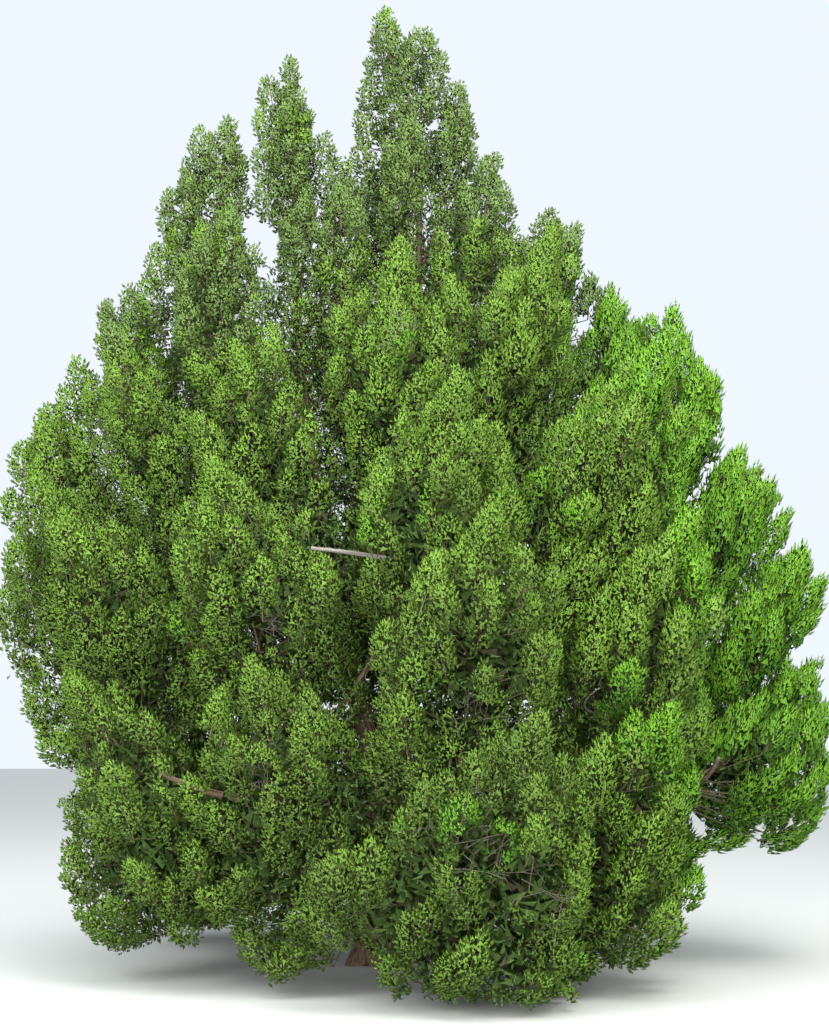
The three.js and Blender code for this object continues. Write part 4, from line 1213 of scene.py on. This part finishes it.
class CYPRESS_OT_foliage(bpy.types.Operator):
    """Grow the tufts of scaly shoots, in pieces by their hue"""

    bl_idname = "cypress.foliage"
    bl_label = "Foliage"

    def execute(self, context):
        """A tuft is a dome with its shoots turned by the golden angle, from its rim up to its middle, and a
        broad shoot in its heart. Its middle faces along the fan from the boughlet's foot, the boughlet's
        surface, its aim and UP, by weights that shift to the aim as it gets feathery; feathery tufts are
        drawn out along it, with longer, slimmer shoots. A leaf's tone is 0.1 + 4 times its tuft's rank of
        youth and painted light + 0.4 the z of its place on the dome, plus chance, from 0.2 darker to 0.2
        lighter along its shoot. The z term makes the tops of domes lighter, partly young tips and partly
        painted light from above."""
        sizes, colours = context.scene.cypress_sizes, context.scene.cypress_colours
        g = grown()
        rng = np.random.default_rng(sizes.seed + 1)
        tufts, b = g["tufts"], g["boughlets"]
        hue, youth_and_painted_light, feathery = hue_of_tufts(g, rng)
        soft = feathery[:, None]
        lit = np.clip((tufts["open"] - 0.1) / 0.25, 0, 1)
        shoots = np.round(sizes.shoots_in_tuft * mix(0.35, 1, lit)).astype(int)
        owner, k = deal_out(shoots + 1)
        heart = k == 0
        level = np.where(heart, 0.5, (k - 1 + 0.3 + 0.4 * rng.random(len(k))) / shoots[owner])
        fan = unit(tufts["place"] - b["foot"][tufts["owner"]])
        centre = unit((0.75 - 0.5 * soft) * fan + (0.4 - 0.2 * soft) * tufts["normal"]
                      + soft * b["aim"][tufts["owner"]] + 0.25 * UP + 0.12 * rng.normal(size=fan.shape))
        dome = TUFT_RADIUS * (0.75 + 0.5 * rng.random(len(hue)))
        base = tufts["place"] - (0.9 * dome)[:, None] * centre
        side, other = cross_axes(centre)
        turn = k * GOLDEN_ANGLE + owner * 1.7 + 0.5 * rng.random(len(k))
        spread = turned(side[owner], other[owner], turn)
        round_it = turned(centre[owner], spread, np.arccos(np.clip(0.1 + 0.9 * level, 0, 1)))
        root = base[owner] + round_it * (dome[owner] * (0.85 + 0.3 * rng.random(len(k))))[:, None]
        root = root + centre[owner] * (feathery[owner] * 1.4 * dome[owner] * (level - 0.4))[:, None]
        way = unit((0.65 - 0.4 * soft[owner]) * round_it + 0.2 * UP + (0.6 + soft[owner]) * centre[owner]
                   + 0.15 * rng.normal(size=(len(k), 3)))
        root[heart] = base - (0.45 * dome)[:, None] * centre
        way[heart] = centre
        size = (0.85 + 0.3 * rng.random(len(hue)))[owner] * (0.8 + 0.4 * rng.random(len(k)))
        length = sizes.shoot_length * size * (1 + 0.9 * feathery[owner])
        width = sizes.shoot_length * size * (1 - 0.2 * feathery[owner])
        length[heart] = 1.25 * dome * (1 + feathery)
        width[heart] = 0.9 / SHOOT_RADIUS * dome
        shape = 0.35 * round_it + 0.75 * tufts["normal"][owner] + 0.1 * way
        roll = 2 * math.pi * rng.random(len(k))
        # The z of the dome lightens its top, partly younger tips and partly painted light from above; the
        # heart is 0.1 lighter as painted light in its shade.
        tone = 0.1 + 4 * youth_and_painted_light[owner] + 0.4 * round_it[:, 2] + 0.15 * rng.normal(size=len(k)) + 0.1 * heart
        leaf_tone = tone[:, None] + 0.4 * (np.arange(SHOOT_LEAVES) / (SHOOT_LEAVES - 1) - 0.5)
        leaf_tone = np.clip(np.round(leaf_tone), 0, TONES - 1).astype(np.int32)
        clear = root[:, 2] + np.minimum(way[:, 2], 0) * 1.2 * length > LOWEST_SHOOT
        for number, name in enumerate(HUES):
            chosen = np.nonzero((hue[owner] == number) & clear)[0]
            materials = leaf_tones(name, colours)
            pieces = max(1, math.ceil(len(chosen) * SHOOT_LEAVES / PIECE_TRIANGLES))
            for part, rows in enumerate(np.array_split(chosen, pieces)):
                shoots = (v[rows] for v in (root, way, roll, length, width, shape))
                places, faces, normals = place_shoots(*shoots)
                make_piece(f"foliage_{name}_{part + 1}", places, faces, materials, "foliage", g["masses"],
                           material_index=leaf_tone[rows].ravel(), normals=normals)
        return {"FINISHED"}


# In a larger share of directions than this a gap sees out too well to be filled, and the share of dead
# shoots.
MOST_OPEN_GAP = 0.42
BROWN_SHARE = 0.06


class CYPRESS_OT_inner_foliage(bpy.types.Operator):
    """Fill the inside of the crown with old, dark shoots"""

    bl_idname = "cypress.inner_foliage"
    bl_label = "Inner foliage"

    def execute(self, context):
        """Old shoots stand in cells from the second to the seventh layer of the masses, but for the upper
        ones that a boughlet fills, and in cells of the gaps between masses that are well shut in. Their
        length goes from 2.2 times the usual one where no light comes in to 0.6 times where a tenth of the
        sky shows."""
        sizes, colours = context.scene.cypress_sizes, context.scene.cypress_colours
        g = grown()
        room = g["room"]
        rng = np.random.default_rng(sizes.seed + 2)

        def some(cells, count):
            return cells[rng.choice(len(cells), min(count, len(cells)), replace=False)]

        under = (room.depth >= 2) & (room.depth <= 7) & ~(room.taken & (room.depth < 4))
        under = some(np.argwhere(under), 2 * sizes.inner_shoots)
        gaps = some(np.argwhere(~room.full & ~room.taken), 20 * sizes.inner_shoots)
        shut_in = room.openness(room.low + (gaps + 0.5) * CELL, room.full) < MOST_OPEN_GAP
        gaps = gaps[shut_in][:sizes.inner_shoots]
        cells = np.concatenate([under, gaps])
        root = room.low + (cells + rng.random(cells.shape)) * CELL
        seen = room.openness(root, room.shut)
        in_gap = np.arange(len(root)) >= len(under)
        chosen = rng.random(len(root)) < np.where(in_gap, 0.9, np.where(seen > 0.04, 0.85, 0.45))
        chosen &= ~left_bare(root)
        root, seen = root[chosen], seen[chosen]
        way = unit(rng.normal(size=root.shape) + 0.9 * UP)
        length = sizes.inner_length * (0.75 + 0.5 * rng.random(len(root)))
        length *= mix(2.2, 0.6, np.clip(seen / 0.1, 0, 1))
        root = root - 0.5 * way * length[:, None]
        clear = np.minimum(root[:, 2], (root + way * length[:, None])[:, 2]) > LOWEST_FOLIAGE
        root, way, length = root[clear], way[clear], length[clear]
        materials = [leaf_material("old_leaf_dark_green", colours.inner_green, 0.75),
                     leaf_material("dead_leaf_brown", colours.inner_brown, 0.85)]
        places, faces, normals = place_shoots(root, way, 6.3 * rng.random(len(root)), length, 0.6 * length,
                                              0.5 * UP + 0.3 * way)
        brown = np.repeat(rng.random(len(root)) < BROWN_SHARE, SHOOT_LEAVES)
        make_piece("inner_foliage", places, faces, materials, "foliage", g["masses"],
                   material_index=brown.astype(np.int32), normals=normals)
        return {"FINISHED"}


# The camera stands where the photographer stood, by its place, pitch and lens.
CAMERA_PLACE = (0.25, -12.0, 1.6)
CAMERA_PITCH = 7.4
CAMERA_LENS = 59.17

SKY_COLOUR = (0.78, 0.84, 0.9, 1)
SKY_STRENGTH = 1.12
HALF_FLOOR = 60.0

# The soft lights: place, aim, size, power and colour.
LIGHTS = {
    "sky": ((0, -3, 14), (0, 0, 3), 12.0, 1500, (0.97, 0.99, 1.0)),
    "key": ((4.5, -7.5, 12.5), (0, 0, 3.4), 7.0, 1300, (1.0, 0.98, 0.92)),
    "left": ((-8.5, -8, 8), (0, 0, 3), 7.0, 1150, (0.97, 0.99, 1.0)),
    "front": ((0, -16, 4), (0, 0, 3), 9.0, 1900, (1.0, 1.0, 0.97)),
}


def soft_light(name, place, target, size, power, colour):
    """A square soft light aimed at a point."""
    data = bpy.data.lights.new(name, "AREA")
    data.size = size
    data.energy = power
    data.color = colour
    light = bpy.data.objects.new(name, data)
    light.location = place
    light.rotation_euler = (Vector(target) - Vector(place)).to_track_quat("-Z", "Y").to_euler()
    bpy.context.scene.collection.objects.link(light)


class CYPRESS_OT_stage(bpy.types.Operator):
    """Set up the pale floor, the soft light and the camera"""

    bl_idname = "cypress.stage"
    bl_label = "Stage"

    def execute(self, context):
        scene = context.scene
        material, tree = new_material("matt_pale_floor")
        shader = add_node(tree, "ShaderNodeBsdfPrincipled", values={
            "Base Color": (*scene.cypress_colours.floor, 1), "Roughness": 0.9})
        add_node(tree, "ShaderNodeOutputMaterial", links={"Surface": shader.outputs["BSDF"]})
        mesh = bpy.data.meshes.new("floor")
        corners = [(x * HALF_FLOOR, y * HALF_FLOOR, 0) for x, y in ((-1, -1), (1, -1), (1, 1), (-1, 1))]
        mesh.from_pydata(corners, [], [(0, 1, 2, 3)])
        mesh.materials.append(material)
        floor = bpy.data.objects.new("floor", mesh)
        scene.collection.objects.link(floor)
        world = bpy.data.worlds.new("studio")
        world.use_nodes = True
        background = world.node_tree.nodes["Background"]
        background.inputs["Color"].default_value = SKY_COLOUR
        background.inputs["Strength"].default_value = SKY_STRENGTH
        scene.world = world
        for name, light in LIGHTS.items():
            soft_light(name, *light)
        camera = bpy.data.cameras.new("camera")
        camera.lens = CAMERA_LENS
        camera.sensor_width = 36
        camera.clip_end = 200
        eye = bpy.data.objects.new("camera", camera)
        eye.location = CAMERA_PLACE
        eye.rotation_euler = (math.radians(90 + CAMERA_PITCH), 0, 0)
        scene.collection.objects.link(eye)
        scene.camera = eye
        scene.view_settings.view_transform = "Standard"
        return {"FINISHED"}


OPERATORS = (CYPRESS_OT_stage, CYPRESS_OT_bark, CYPRESS_OT_twigs, CYPRESS_OT_foliage,
             CYPRESS_OT_inner_foliage)


class CYPRESS_PT_panel(bpy.types.Panel):
    """The sizes and colours of the cypress, and the steps that grow it"""

    bl_idname = "CYPRESS_PT_panel"
    bl_label = "Garden cypress"
    bl_space_type = "VIEW_3D"
    bl_region_type = "UI"
    bl_category = "Cypress"

    def draw(self, context):
        for group in (context.scene.cypress_sizes, context.scene.cypress_colours):
            for name in group.__annotations__:
                self.layout.prop(group, name)
        for operator in OPERATORS:
            self.layout.operator(operator.bl_idname)


CLASSES = (CypressSizes, CypressColours, *OPERATORS, CYPRESS_PT_panel)


def register():
    for cls in CLASSES:
        bpy.utils.register_class(cls)
    bpy.types.Scene.cypress_sizes = bpy.props.PointerProperty(type=CypressSizes)
    bpy.types.Scene.cypress_colours = bpy.props.PointerProperty(type=CypressColours)


def unregister():
    del bpy.types.Scene.cypress_colours
    del bpy.types.Scene.cypress_sizes
    for cls in reversed(CLASSES):
        bpy.utils.unregister_class(cls)


def main():
    """Registers the add-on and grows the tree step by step."""
    register()
    bpy.ops.cypress.stage()
    bpy.ops.cypress.bark()
    bpy.ops.cypress.twigs()
    bpy.ops.cypress.foliage()
    bpy.ops.cypress.inner_foliage()


if __name__ == "__main__":
    main()
